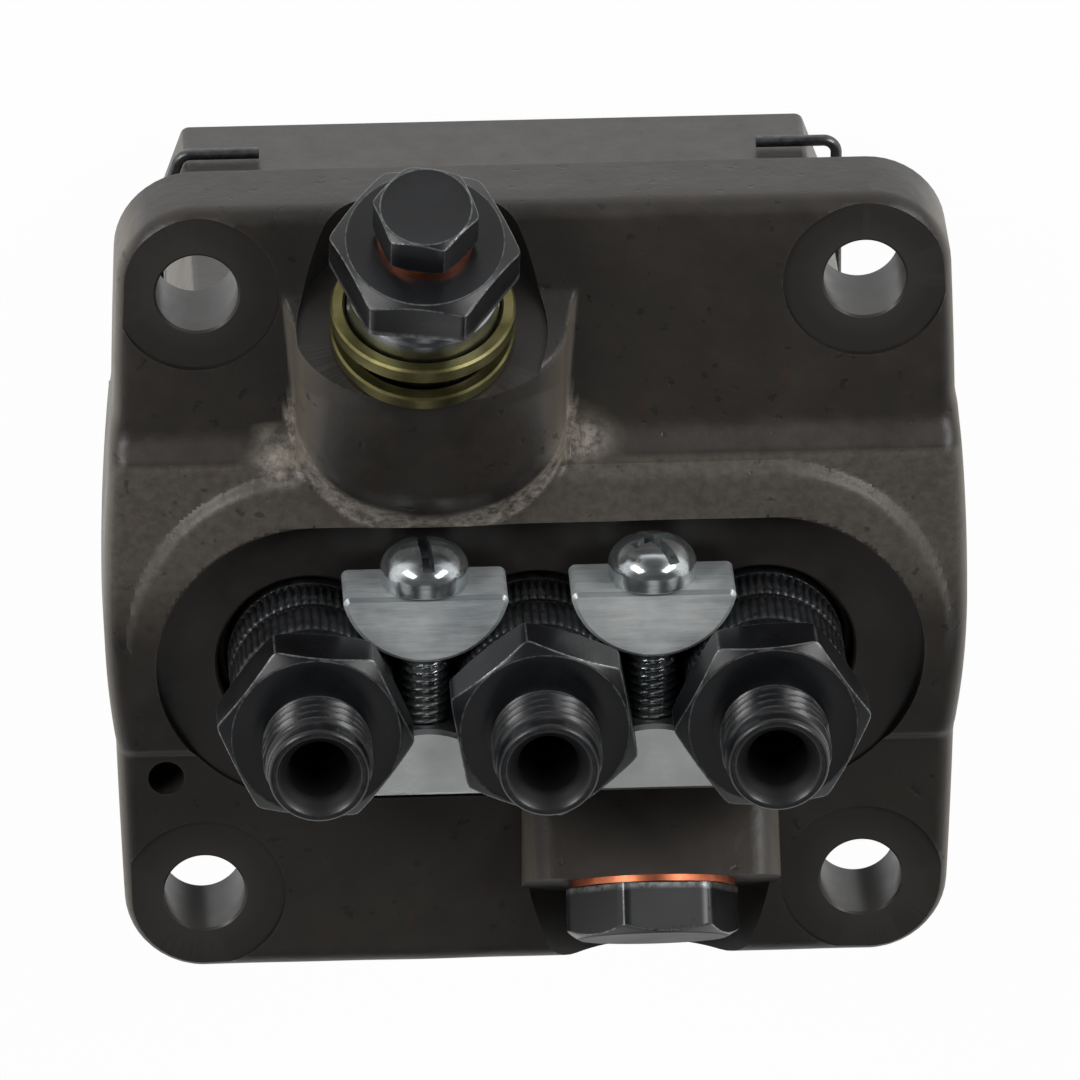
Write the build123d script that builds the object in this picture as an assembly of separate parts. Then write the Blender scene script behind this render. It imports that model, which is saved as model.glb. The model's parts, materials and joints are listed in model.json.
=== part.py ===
from build123d import *
import math
import os

# Three-element flange-mounted diesel injection pump, millimetres.
# Origin: centre of the four-hole flange pattern, on the flange's underside (the engine's face).
# +Z runs along the delivery valve holders, +X along their row, +Y towards the fuel inlet.

FAR = 60.0                       # past the part on every side, for cutting slabs

# ---- flange and housing ----
BOLT_PITCH = 73.0                # square pattern
BOLT_HOLE_R = 4.5                # clearance for M8
SPOTFACE_R = 9.0
FACE = 10.8                      # spotface level above the underside
SKIN = 0.5                       # cast skin standing above the spotfaces
SKIN_TOP = FACE + SKIN
PLATE_HALF_X = 45.3
PLATE_BOW = 1.2                  # extra half width at mid height of the sides
PLATE_Y0 = -46.0
PLATE_Y1 = 46.3
PLATE_CORNER_R = 8.5
PLATE_EDGE_R = 1.2
ROW_X = 0.4                      # middle element
ROW_Y = -8.2                     # element row
PITCH = 25.0                     # element pitch
ELEMENTS = (-1, 0, 1)
PLATE_X = ROW_X
PAD_HALF_X = 46.4
PAD_BOW = 1.2
PAD_TOP = FACE + 3.8
PAD_SHOULDER = FACE + 3.0
PAD_Y0 = -18.2
PAD_FRONT_Z = FACE + 1.3
PAD_BEND_Y = 1.0
PAD_RAMP_TOP_Y = 17.0
PAD_RAMP_FOOT_Y = 20.2
PAD_CORNER_R = 2.5
POCKET_R = 17.4
POCKET_X = ROW_X + 0.4
POCKET_Y = ROW_Y + 0.5
COLLAR_R = 19.2
COLLAR_Y = -4.3
TAPER_DEG = 42.0
DOWEL_HOLE_R = 2.0
DOWEL_HOLE_X = -40.6
DOWEL_HOLE_Y = -22.0
DOWEL_HOLE_DEPTH = 6.0

# ---- lower body ----
BODY_WALL_X0 = 13.6              # from the first element's axis to the body's end face
BODY_WALL_X1 = 12.2              # from the last element's axis
BODY_X0 = ROW_X - PITCH - BODY_WALL_X0
BODY_X1 = ROW_X + PITCH + BODY_WALL_X1
BODY_Y0 = ROW_Y - 16.0
BODY_Y1 = 18.0
BODY_CHAMFER_X = 2.5
BODY_CHAMFER_Y = 7.0
BODY_CORNER_R = 1.0
BODY_LENGTH = 87.5               # from the spotface level to the cam end
BODY_Z0 = FACE - BODY_LENGTH
BODY_EDGE_R = 0.8

# ---- inclined union and plug ----
TILT = math.radians(59.0)        # both axes, measured from +Z
SIN_T = math.sin(TILT)
COS_T = math.cos(TILT)
UNION_X = ROW_X - PITCH / 2
UNION_Y = 32.85
UNION_Z = FACE + 3.8
UNION_CUTTER_R = 13.7
UNION_BOSS_HALF = 14.7
UNION_BOSS_TOP = 9.2             # boss crown above the union axis at the seat
UNION_BOSS_RISE = 2.6            # crown gain towards the pad
UNION_BOSS_LENGTH = 25.6
UNION_BOSS_LIP = 1.2             # cast rim standing past the seat
UNION_THREAD_R = 7.0
UNION_THREAD_DEPTH = 12.0
UNION_DRILL_R = 3.0
UNION_DRILL_DEPTH = 36.1
PLUG_X = ROW_X + PITCH / 2
PLUG_Y = -33.9
PLUG_Z = FACE + 5.0
PLUG_CUTTER_R = 14.4
PLUG_BOSS_HALF = 14.0
PLUG_BOSS_TOP = 6.4              # boss top above the plug axis at the seat
PLUG_BOSS_FALL = math.radians(41.5)
PLUG_BOSS_FOOT_Y = -17.8
PLUG_BOSS_R = 2.5
PLUG_THREAD_R = 4.0
PLUG_THREAD_DEPTH = 9.0
PLUG_DRILL_R = 1.75
PLUG_DRILL_DEPTH = 44.5
CUTTER_REACH = 26.0

# ---- fuel gallery ----
GALLERY_R = 3.0
GALLERY_Y = 3.0
GALLERY_Z = FACE - 16.0
GALLERY_PLUG_LENGTH = 5.0
GALLERY_PLUG_SUNK = 0.6

# ---- element bore levels ----
MOUTH_R = 10.2
MOUTH_FLOOR = FACE - 4.0
BORE_R = 9.0
LEDGE = FACE - 30.0
NECK_R = 7.03
NECK_END = FACE - 34.0
GEAR_ROOM_R = 10.4
SEAT_STEP = FACE - 42.6
TAPPET_BORE_R = 11.0

# ---- delivery valve holder ----
HOLDER_FOOT = FACE - 12.0
HOLDER_COLLAR_R = 9.0
HOLDER_GROOVE_R = 8.5
HOLDER_GROOVE_Z0 = FACE + 3.4
HOLDER_GROOVE_Z1 = FACE + 4.8
HEX_Z0 = FACE + 12.9
HEX_Z1 = FACE + 19.4
HEX_AF = 19.0
HEX_ROUND_R = 9.3
HEX_CHAMFER = 1.0
STUB_R = 6.0
STUB_RELIEF_R = 5.2
STUB_RELIEF_TOP = HEX_Z1 + 1.6
STUB_TOP = FACE + 29.2
STUB_CHAMFER = 0.7
MOUTH_CONE_R = 4.4
MOUTH_BORE_R = 4.0
MOUTH_CONE_DEPTH = 1.0
MOUTH_BORE_END = FACE + 20.0
MOUTH_TIP_END = FACE + 17.8
PASSAGE_R = 1.2
CHAMBER_R = 4.5
CHAMBER_TOP = FACE + 9.0
HEX_TURN = {-1: -6.0, 0: -20.0, 1: 3.5}
ORING_MINOR_R = 0.58

# ---- delivery valve ----
GASKET_T = 0.8
GASKET_R0 = 5.2
GASKET_R1 = 8.8
SEAT_TOP = HOLDER_FOOT - GASKET_T
SEAT_LENGTH = 6.0
SEAT_R = 7.5
VALVE_GUIDE_R = 2.5
VALVE_STEM_R = 2.46
VALVE_CONE_R = 3.9
VALVE_HEAD_R = 3.7
VALVE_CONE_H = 1.4
VALVE_GAP = 0.04
VALVE_HEAD_H = 0.8
VALVE_PILOT_R = 2.1
VALVE_PILOT_H = 2.4
VALVE_FLUTE_W = 1.3
VALVE_SPRING_R = 3.2
VALVE_SPRING_WIRE_R = 0.45
VALVE_SPRING_TURNS = 7.5

# ---- barrel and plunger ----
BARREL_TOP = SEAT_TOP - SEAT_LENGTH
BARREL_HEAD_R = 7.25
BARREL_SHOULDER_Z = FACE - 26.0
BARREL_SHOULDER_R = 8.95
BARREL_R = 7.0
BARREL_END = FACE - 45.0
PLUNGER_R = 3.25
PLUNGER_FIT = 0.02
PORT_R = 1.3
PORT_Z = FACE - 22.4
PIN_R = 0.9
PIN_FIT = 0.05
PIN_OFFSET = 8.05
PIN_TOP = FACE - 27.0
PIN_END = FACE - 33.0
PLUNGER_TOP = FACE - 27.6
VANE_Z0 = FACE - 56.5
VANE_H = 3.0
VANE_HALF = 7.9
VANE_W = 3.0
VANE_FIT = 0.05
PLUNGER_STEM_R = 2.6
TAPPET_DEPTH = 12.3              # tappet's floor above the body's cam end
TAPPET_FLOOR = BODY_Z0 + TAPPET_DEPTH
SHIM_T = 1.2
FOOT_GAP = 0.02
FOOT_H = 1.7
FOOT_Z0 = TAPPET_FLOOR + SHIM_T + FOOT_GAP
FOOT_Z1 = FOOT_Z0 + FOOT_H
FOOT_R = 4.6
HELIX_DEPTH = 0.9

# ---- control sleeve and rack ----
TOOTH_PITCH = 2.5
GEAR_TEETH = 22
PRESSURE_DEG = 20.0
BACKLASH = 0.12
MODULE = TOOTH_PITCH / math.pi
GEAR_PITCH_R = GEAR_TEETH * MODULE / 2
SLEEVE_BORE_R = 7.04
SLEEVE_R = 8.2
SLEEVE_TOP = FACE - 35.8
SLEEVE_END = FACE - 56.8
SLEEVE_SLOT_TOP = FACE - 45.2
GEAR_END = SEAT_STEP + 0.05
RACK_R = 4.5
RACK_FIT = 0.05
RACK_Z = FACE - 38.0
RACK_TIP_Y = ROW_Y + GEAR_PITCH_R - MODULE
RACK_Y = RACK_TIP_Y + 4.1
RACK_TRAVEL = 10.0               # from full delivery at rest to stop, towards -X
RACK_OUT = 7.3                   # free end past the housing at rest
RACK_X0 = BODY_X0 - RACK_OUT
RACK_X1 = BODY_X1 + 4.0
RACK_MESH = 8.0                  # toothed length kept past an outer sleeve's centre
RACK_FLAT_X = BODY_X0 - 2.0
RACK_FLAT_HALF = 2.6
LINK_PIN_R = 2.0
LINK_PIN_X = RACK_X0 + 2.4
LINK_PIN_H = 9.5
LINK_COLLAR_R = 2.4
LINK_PIN_Z1 = RACK_Z + LINK_PIN_H
GUIDE_X = PLUG_X
GUIDE_SLOT_HALF_W = 1.5
GUIDE_SLOT_DEPTH = 1.5
GUIDE_TIP_R = 1.45
GUIDE_THREAD_R = 3.0
GUIDE_HEAD_R = 4.9
GUIDE_HEAD_H = 3.6
GUIDE_TIP_GAP = 0.2

# ---- springs and seats ----
UPPER_SEAT_T = 1.2
UPPER_SEAT_R0 = 8.3
UPPER_SEAT_R1 = 10.9
LOWER_SEAT_PLATE_T = 1.5
LOWER_SEAT_Z1 = FOOT_Z1 + 0.3 + LOWER_SEAT_PLATE_T
LOWER_SEAT_R = 10.2
LOWER_SEAT_HOLE_R = 5.2
LOWER_SEAT_SLOT_R = 2.9
PLUNGER_SPRING_R = 9.55
PLUNGER_SPRING_WIRE_R = 0.95
PLUNGER_SPRING_TURNS = 6.5
SPRING_END_GAP = 0.05

# ---- roller tappet ----
LIFT = 8.0
SHIM_R = 5.0
TAPPET_R = 10.97
TAPPET_CUP_R = LOWER_SEAT_R + 0.05
ROLLER_DROP = 11.2               # roller axis below the tappet's floor
ROLLER_Z = TAPPET_FLOOR - ROLLER_DROP
ROLLER_R = 7.5
ROLLER_HALF = 4.0
ROLLER_FIT = 0.03
ROLLER_PIN_R = 3.0
ROLLER_PIN_HALF = 9.5
ROLLER_POCKET_X = ROLLER_HALF + 0.15
ROLLER_POCKET_Y = ROLLER_R + 0.7
ROLLER_POCKET_TOP = ROLLER_Z + ROLLER_R + 0.6
TAPPET_SKIRT = 4.0               # tappet body below the roller axis
TAPPET_END = ROLLER_Z - TAPPET_SKIRT
GUIDE_PIN_R = 1.5
GUIDE_PIN_Z = TAPPET_FLOOR - 0.5 - GUIDE_PIN_R
GUIDE_PIN_FIT = 0.05
GUIDE_PIN_TIP = 9.2
GUIDE_SLOT_TOP = GUIDE_PIN_Z + GUIDE_PIN_R + 0.1
GUIDE_SLOT_END = GUIDE_PIN_Z - GUIDE_PIN_R - LIFT - 0.2

# ---- wire clip ----
WIRE_R = 0.65
WIRE_PIN_GAP = 0.02              # off the pin heads
WIRE_FACE_GAP = 0.15             # off the inlet face
WIRE_SIDE_GAP = 0.1              # off the left side, which it hugs
WIRE_BOW = 0.35                  # off the right side, where it springs clear
WIRE_LEFT_END = 10.9             # where its ends lie on the inlet face, from the sides
WIRE_RIGHT_END = 8.2
WIRE_BEND_R = 1.5

# ---- clamping jaws ----
JAW_Z0 = FACE + 2.0
JAW_Z1 = FACE + 10.0
JAW_R = 9.3
JAW_CENTRE_Y = 13.4
JAW_FLAT_Y = 12.1
JAW_CORNER_R = 0.8
JAW_EDGE_R = 0.45
SCREW_R = 2.5
SCREW_HOLE_R = 2.7
SCREW_Z = FACE + 6.0
SCREW_HEAD_R = 4.85
SCREW_HEAD_H = 4.7
SCREW_HEAD_DOME = 3.0
SCREW_DOME_STEPS = 6
SCREW_TIP_PAST = 0.6
SCREW_SLOT_W = 1.3
SCREW_SLOT_DEPTH = 1.6
SCREW_CROSS_HALF = 2.6

# ---- inlet union parts ----
SHANK_R = 8.3
SHANK_LENGTH = 12.2
UNION_HEX_AF = 18.0
UNION_HEX_H = 5.8
UNION_HEX_TURN = -3.5
UNION_HEX_END_R = 8.6
UNION_HEX_CHAMFER = 1.1
UNION_HOLE_R = 3.0
UNION_HOLE_TOP = SHANK_LENGTH - 3.5
UNION_PASSAGE_R = 1.2
CROSS_HOLE_R = 2.0
CROSS_HOLE_AT = 7.8
WASHER_R0 = 8.55
WASHER_R1 = 10.1
WASHER_T = 2.0
UPPER_WASHER_MID = 4.6
UPPER_WASHER_TILT = -8.0
BLEED_WASHER_R = 5.2
BLEED_WASHER_T = 1.0
BLEED_HEX_AF = 10.0
BLEED_HEX_H = 5.0
BLEED_HEX_TURN = -12.0
BLEED_HEX_END_R = 4.9
BLEED_HEX_CHAMFER = 0.7
BLEED_THREAD_R = 3.0
BLEED_THREAD_L = 8.0             # depth of its tapped hole
BLEED_TIP_GAP = 1.0
PLUG_WASHER_R = 9.2
PLUG_WASHER_T = 0.7
PLUG_HEX_AF = 17.0
PLUG_HEX_H = 5.7
PLUG_HEX_TURN = 52.3
PLUG_HEX_END_R = 8.2
PLUG_HEX_CHAMFER = 1.2


def row_x(i):
    return ROW_X + i * PITCH


def rod(r, z0, z1, x=0.0, y=0.0):
    return Pos(x, y, (z0 + z1) / 2) * Cylinder(r, z1 - z0)


def block(x0, x1, y0, y1, z0, z1):
    centre = Pos((x0 + x1) / 2, (y0 + y1) / 2, (z0 + z1) / 2)
    return centre * Box(x1 - x0, y1 - y0, z1 - z0)


def turned(points, x=0.0, y=0.0):
    # solid of revolution about +Z from (radius, height) points
    outline = Polyline(*[(r, 0, z) for r, z in points], close=True)
    return Pos(x, y, 0) * revolve(make_face(outline), Axis.Z)


def along(frame, r, d0, d1):
    # cylinder on a tilted frame's axis between two distances from its origin
    return frame * rod(r, d0, d1)


def hex_prism(af, z0, z1, turn, end_r, chamfer_h, both=False):
    # hexagon with its end corners turned down to a cone
    prism = extrude(Rot(0, 0, turn) * RegularPolygon(af / 2, 6, major_radius=False), z1 - z0)
    corner = af / math.sqrt(3) + 0.01
    points = [(0, 0), (corner, 0), (corner, z1 - z0 - chamfer_h), (end_r, z1 - z0), (0, z1 - z0)]
    if both:
        points = [(0, 0), (end_r, 0), (corner, chamfer_h)] + points[2:]
    return Pos(0, 0, z0) * (prism & turned(points))


def slab_yz(points, half_x, x):
    # prism from a side-view outline of (y, z) points, centred on x
    face = make_face(Polyline(*[(0, y, z) for y, z in points], close=True))
    return Pos(x, 0, 0) * extrude(face, half_x, dir=(1, 0, 0), both=True)


def stadium(half_length, r, x, y, z0, z1, taper=0.0):
    outline = Pos(x, y, z0) * SlotCenterToCenter(2 * half_length, 2 * r)
    return extrude(outline, z1 - z0, taper=taper)


def bowed_plan(half_x, bow, y0, y1, corner_r, x):
    # plan outline whose left and right sides bulge outward a little
    mid = (y0 + y1) / 2 - 4.0
    right = ThreePointArc((half_x, y0), (half_x + bow, mid), (half_x, y1))
    left = ThreePointArc((-half_x, y1), (-half_x - bow, mid), (-half_x, y0))
    top = Line((half_x, y1), (-half_x, y1))
    bottom = Line((-half_x, y0), (half_x, y0))
    face = make_face([right, top, left, bottom])
    face = fillet(face.vertices(), corner_r)
    return Pos(x, 0, 0) * face


def spring(mean_r, wire_r, z0, z1, turns, x, y):
    # round wire coil between two faces
    rise = z1 - z0 - 2 * wire_r
    path = Helix(pitch=rise / turns, height=rise, radius=mean_r)
    start = Plane(origin=path @ 0, z_dir=path % 0)
    coil = sweep(start * Circle(wire_r), path=path, is_frenet=True)
    return Pos(x, y, z0 + wire_r) * coil


UNION_FRAME = Plane(origin=(UNION_X, UNION_Y, UNION_Z), x_dir=(1, 0, 0), z_dir=(0, SIN_T, COS_T))
PLUG_FRAME = Plane(origin=(PLUG_X, PLUG_Y, PLUG_Z), x_dir=(1, 0, 0), z_dir=(0, -SIN_T, COS_T))


def union_boss():
    # crowned boss running down from the inclined seat into the pad
    sections = []
    for depth, top, corner in (
        (UNION_BOSS_LIP, UNION_BOSS_TOP, 6.5),
        (-UNION_BOSS_LENGTH, UNION_BOSS_TOP + UNION_BOSS_RISE, 3.0),
    ):
        height = top + 20.0
        outline = RectangleRounded(2 * UNION_BOSS_HALF, height, corner)
        sections.append(UNION_FRAME * Pos(0, height / 2 - top, depth) * outline)
    body = loft(sections)
    return body & block(-FAR, FAR, POCKET_Y, PLATE_Y1 - 2.5, FACE - 9.5, FACE + 30)


def plug_boss():
    top_y = PLUG_Y + PLUG_BOSS_TOP * COS_T
    top_z = PLUG_Z + PLUG_BOSS_TOP * SIN_T
    foot_z = top_z - (PLUG_BOSS_FOOT_Y - top_y) * math.tan(PLUG_BOSS_FALL)
    low_y = PLUG_Y - 12.0 * COS_T
    low_z = PLUG_Z - 12.0 * SIN_T
    points = [(top_y, top_z), (PLUG_BOSS_FOOT_Y, foot_z), (PLUG_BOSS_FOOT_Y, FACE - 4), (low_y, low_z)]
    body = slab_yz(points, PLUG_BOSS_HALF, PLUG_X)
    slope = [
        e for e in body.edges().filter_by(GeomType.LINE)
        if abs(e.tangent_at(0).X) < 0.01
        and abs(abs(e.tangent_at(0).Y) - math.cos(PLUG_BOSS_FALL)) < 0.01
        and e.center().Z > FACE
    ]
    return fillet(slope, PLUG_BOSS_R)


def pad():
    points = [
        (PAD_Y0, FACE - 1), (PAD_Y0, PAD_FRONT_Z), (PAD_BEND_Y, PAD_TOP),
        (PAD_RAMP_TOP_Y, PAD_TOP), (PAD_RAMP_FOOT_Y, SKIN_TOP), (PAD_RAMP_FOOT_Y, FACE - 1),
    ]
    face = make_face(Polyline(*[(0, y, z) for y, z in points], close=True))
    rounded = [v for v in face.vertices() if v.Z > FACE + 3 and v.Y > PAD_BEND_Y - 0.1]
    face = fillet(rounded, 1.2)
    slab = extrude(face, FAR, dir=(1, 0, 0), both=True)
    plan = bowed_plan(PAD_HALF_X, PAD_BOW, PAD_Y0, PAD_RAMP_FOOT_Y + 2, PAD_CORNER_R, PLATE_X + 0.3)
    body = slab & Pos(0, 0, FACE - 1) * extrude(plan, 8)
    collar = stadium(PITCH, COLLAR_R, ROW_X + 0.3, COLLAR_Y, PAD_SHOULDER, PAD_TOP + 2, TAPER_DEG)
    shoulder = block(-FAR, FAR, -FAR, FAR, PAD_SHOULDER, PAD_TOP + 1) - collar
    return body - shoulder


def lower_body():
    x0, x1, y0, y1 = BODY_X0, BODY_X1, BODY_Y0, BODY_Y1
    outline = Polyline(
        (x0, y0), (x1, y0), (x1, y1 - BODY_CHAMFER_Y), (x1 - BODY_CHAMFER_X, y1),
        (x0 + BODY_CHAMFER_X, y1), (x0, y1 - BODY_CHAMFER_Y), close=True,
    )
    face = make_face(outline)
    face = fillet(face.vertices(), BODY_CORNER_R)
    body = Pos(0, 0, BODY_Z0) * extrude(face, 1 - BODY_Z0)
    return fillet(body.faces().sort_by(Axis.Z)[0].edges(), BODY_EDGE_R)


def housing():
    plan = bowed_plan(PLATE_HALF_X, PLATE_BOW, PLATE_Y0, PLATE_Y1, PLATE_CORNER_R, PLATE_X)
    plate = extrude(plan, SKIN_TOP)
    plate = fillet(plate.faces().sort_by(Axis.Z)[-1].edges(), PLATE_EDGE_R)
    body = plate + pad() + union_boss()
    body = body - stadium(PITCH, POCKET_R, POCKET_X, POCKET_Y, FACE, FACE + 30)
    body = body + plug_boss() + lower_body()
    # inclined seats with the room that their cutters leave
    body = body - along(UNION_FRAME, UNION_CUTTER_R, 0, CUTTER_REACH)
    body = body - along(UNION_FRAME, UNION_THREAD_R, -UNION_THREAD_DEPTH, 1)
    body = body - along(UNION_FRAME, UNION_DRILL_R, -UNION_DRILL_DEPTH, -1)
    body = body - along(PLUG_FRAME, PLUG_CUTTER_R, 0, CUTTER_REACH)
    body = body - along(PLUG_FRAME, PLUG_THREAD_R, -PLUG_THREAD_DEPTH, 1)
    body = body - along(PLUG_FRAME, PLUG_DRILL_R, -PLUG_DRILL_DEPTH, -1)
    # flange holes
    for sx in (-1, 1):
        for sy in (-1, 1):
            x = sx * BOLT_PITCH / 2
            y = sy * BOLT_PITCH / 2
            body = body - rod(SPOTFACE_R, FACE, FACE + 3, x, y)
            body = body - rod(BOLT_HOLE_R, -1, FACE + 1, x, y)
    body = body - rod(DOWEL_HOLE_R, SKIN_TOP - DOWEL_HOLE_DEPTH, SKIN_TOP + 3, DOWEL_HOLE_X, DOWEL_HOLE_Y)
    # element bores, stepped downwards
    for i in ELEMENTS:
        x = row_x(i)
        body = body - turned([
            (0, FACE + 6), (MOUTH_R, FACE + 6), (MOUTH_R, MOUTH_FLOOR), (BORE_R, MOUTH_FLOOR),
            (BORE_R, LEDGE), (NECK_R, LEDGE), (NECK_R, NECK_END), (GEAR_ROOM_R, NECK_END),
            (GEAR_ROOM_R, SEAT_STEP), (TAPPET_BORE_R, SEAT_STEP), (TAPPET_BORE_R, BODY_Z0 - 1),
            (0, BODY_Z0 - 1),
        ], x, ROW_Y)
        body = body - rod(PIN_R, PIN_END, LEDGE + 1, x, ROW_Y - PIN_OFFSET)
        body = body - Pos(x, BODY_Y0, GUIDE_PIN_Z) * Rot(90, 0, 0) * Cylinder(GUIDE_PIN_R, ROW_Y - BODY_Y0)
    # long bores: gallery and rack
    across = Rot(0, 90, 0)
    body = body - Pos(0, GALLERY_Y, GALLERY_Z) * across * Cylinder(GALLERY_R, 2 * FAR)
    body = body - Pos(0, RACK_Y, RACK_Z) * across * Cylinder(RACK_R + RACK_FIT, 2 * FAR)
    guide = Pos(GUIDE_X, BODY_Y1, RACK_Z) * Rot(90, 0, 0)
    body = body - guide * Cylinder(GUIDE_THREAD_R, 2 * (BODY_Y1 - RACK_Y))
    return body


def holder(i):
    x = row_x(i)
    body = turned([
        (CHAMBER_R, HOLDER_FOOT), (BORE_R, HOLDER_FOOT), (HOLDER_COLLAR_R, HOLDER_GROOVE_Z0),
        (HOLDER_GROOVE_R, HOLDER_GROOVE_Z0 + 0.4), (HOLDER_GROOVE_R, HOLDER_GROOVE_Z1 - 0.3),
        (HOLDER_COLLAR_R, HOLDER_GROOVE_Z1), (HOLDER_COLLAR_R, HEX_Z0 + 0.5), (HOLDER_COLLAR_R, HEX_Z1 - 0.5),
        (STUB_RELIEF_R, HEX_Z1 - 0.5), (STUB_RELIEF_R, STUB_RELIEF_TOP - 0.5), (STUB_R, STUB_RELIEF_TOP),
        (STUB_R, STUB_TOP - STUB_CHAMFER), (STUB_R - STUB_CHAMFER, STUB_TOP),
        (MOUTH_CONE_R, STUB_TOP), (MOUTH_BORE_R, STUB_TOP - MOUTH_CONE_DEPTH),
        (MOUTH_BORE_R, MOUTH_BORE_END), (PASSAGE_R, MOUTH_TIP_END), (PASSAGE_R, CHAMBER_TOP),
        (CHAMBER_R, CHAMBER_TOP),
    ], 0, 0)
    nut = hex_prism(HEX_AF, HEX_Z0, HEX_Z1, HEX_TURN[i], HEX_ROUND_R, HEX_CHAMFER)
    nut = nut - rod(HOLDER_COLLAR_R - 0.5, HEX_Z0 - 1, HEX_Z1 - 0.5)
    nut = nut - rod(STUB_RELIEF_R, HEX_Z1 - 1, HEX_Z1 + 1)
    return Pos(x, ROW_Y, 0) * (body + nut)


def valve_seat(i):
    foot = SEAT_TOP - SEAT_LENGTH
    return turned([
        (VALVE_GUIDE_R, foot), (SEAT_R, foot), (SEAT_R, SEAT_TOP - 1.5), (GASKET_R1, SEAT_TOP - 1.5),
        (GASKET_R1, SEAT_TOP), (VALVE_CONE_R, SEAT_TOP), (VALVE_GUIDE_R, SEAT_TOP - VALVE_CONE_H),
    ], row_x(i), ROW_Y)


def delivery_valve(i):
    base = SEAT_TOP - SEAT_LENGTH + 0.4
    cone = SEAT_TOP - VALVE_CONE_H + VALVE_GAP
    ratio = (VALVE_HEAD_R - VALVE_GUIDE_R) / (VALVE_CONE_R - VALVE_GUIDE_R)
    head = cone + VALVE_CONE_H * ratio
    body = turned([
        (0, base), (VALVE_STEM_R, base), (VALVE_STEM_R, cone), (VALVE_HEAD_R, head),
        (VALVE_HEAD_R, head + VALVE_HEAD_H), (VALVE_PILOT_R, head + VALVE_HEAD_H),
        (VALVE_PILOT_R, head + VALVE_PILOT_H), (0, head + VALVE_PILOT_H),
    ])
    for k in range(4):
        flute = block(VALVE_FLUTE_W / 2, 4, VALVE_FLUTE_W / 2, 4, base - 1, cone - 0.9)
        body = body - Rot(0, 0, 90 * k) * flute
    return Pos(row_x(i), ROW_Y, 0) * body


def valve_spring(i):
    ratio = (VALVE_HEAD_R - VALVE_GUIDE_R) / (VALVE_CONE_R - VALVE_GUIDE_R)
    z0 = SEAT_TOP - VALVE_CONE_H + VALVE_GAP + VALVE_CONE_H * ratio + VALVE_HEAD_H + SPRING_END_GAP
    return spring(
        VALVE_SPRING_R, VALVE_SPRING_WIRE_R, z0, CHAMBER_TOP - SPRING_END_GAP,
        VALVE_SPRING_TURNS, row_x(i), ROW_Y,
    )


def barrel(i):
    bore = PLUNGER_R + PLUNGER_FIT
    body = turned([
        (bore, BARREL_TOP), (BARREL_HEAD_R, BARREL_TOP), (BARREL_HEAD_R, BARREL_SHOULDER_Z),
        (BARREL_SHOULDER_R, BARREL_SHOULDER_Z - 1), (BARREL_SHOULDER_R, LEDGE), (BARREL_R, LEDGE),
        (BARREL_R, BARREL_END), (bore, BARREL_END),
    ])
    body = body - Pos(0, 0, PORT_Z) * Rot(90, 0, 0) * Cylinder(PORT_R, 2 * BARREL_HEAD_R + 1)
    body = body - rod(PIN_R + PIN_FIT, LEDGE - 1, PIN_TOP + 0.4, 0, -PIN_OFFSET)
    return Pos(row_x(i), ROW_Y, 0) * body


def plunger(i):
    body = turned([
        (0, FOOT_Z0), (FOOT_R, FOOT_Z0), (FOOT_R, FOOT_Z1), (PLUNGER_STEM_R, FOOT_Z1),
        (PLUNGER_STEM_R, VANE_Z0 + VANE_H), (PLUNGER_R, VANE_Z0 + VANE_H), (PLUNGER_R, PLUNGER_TOP),
        (0, PLUNGER_TOP),
    ])
    body = body + block(-VANE_HALF, VANE_HALF, -VANE_W / 2, VANE_W / 2, VANE_Z0, VANE_Z0 + VANE_H)
    # stop groove and slanted control edge
    body = body - block(-0.9, 0.9, PLUNGER_R - 1.4, PLUNGER_R + 1, PLUNGER_TOP - 9, PLUNGER_TOP + 1)
    slant = Pos(0, PLUNGER_R, PLUNGER_TOP - 6) * Rot(0, 35, 0) * Box(12, 2 * HELIX_DEPTH, 2.4)
    return Pos(row_x(i), ROW_Y, 0) * (body - slant)


def gear_outline():
    # involute teeth, thinned by the backlash, one tooth centred on +Y
    root_r = GEAR_PITCH_R - 1.25 * MODULE
    tip_r = GEAR_PITCH_R + MODULE
    base_r = GEAR_PITCH_R * math.cos(math.radians(PRESSURE_DEG))
    at_pitch = math.tan(math.radians(PRESSURE_DEG)) - math.radians(PRESSURE_DEG)
    half_tooth = (TOOTH_PITCH / 2 - BACKLASH) / 2 / GEAR_PITCH_R
    flank = [(root_r, half_tooth + at_pitch)]
    steps = 5
    for k in range(steps + 1):
        r = base_r + (tip_r - base_r) * k / steps
        roll = math.acos(min(1.0, base_r / r))
        flank.append((r, half_tooth + at_pitch - (math.tan(roll) - roll)))
    points = []
    for n in range(GEAR_TEETH):
        centre = math.pi / 2 + 2 * math.pi * n / GEAR_TEETH
        for r, a in flank:
            points.append((r * math.cos(centre - a), r * math.sin(centre - a)))
        for r, a in reversed(flank):
            points.append((r * math.cos(centre + a), r * math.sin(centre + a)))
    return make_face(Polyline(*points, close=True))


def control_sleeve(i):
    body = rod(SLEEVE_R, SLEEVE_END, GEAR_END + 0.5)
    body = body + Pos(0, 0, GEAR_END) * extrude(gear_outline(), SLEEVE_TOP - GEAR_END)
    body = body - rod(SLEEVE_BORE_R, SLEEVE_END - 1, SLEEVE_TOP + 1)
    slot = VANE_W / 2 + VANE_FIT
    body = body - block(-SLEEVE_R - 1, SLEEVE_R + 1, -slot, slot, SLEEVE_END - 1, SLEEVE_SLOT_TOP)
    return Pos(row_x(i), ROW_Y, 0) * body


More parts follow.
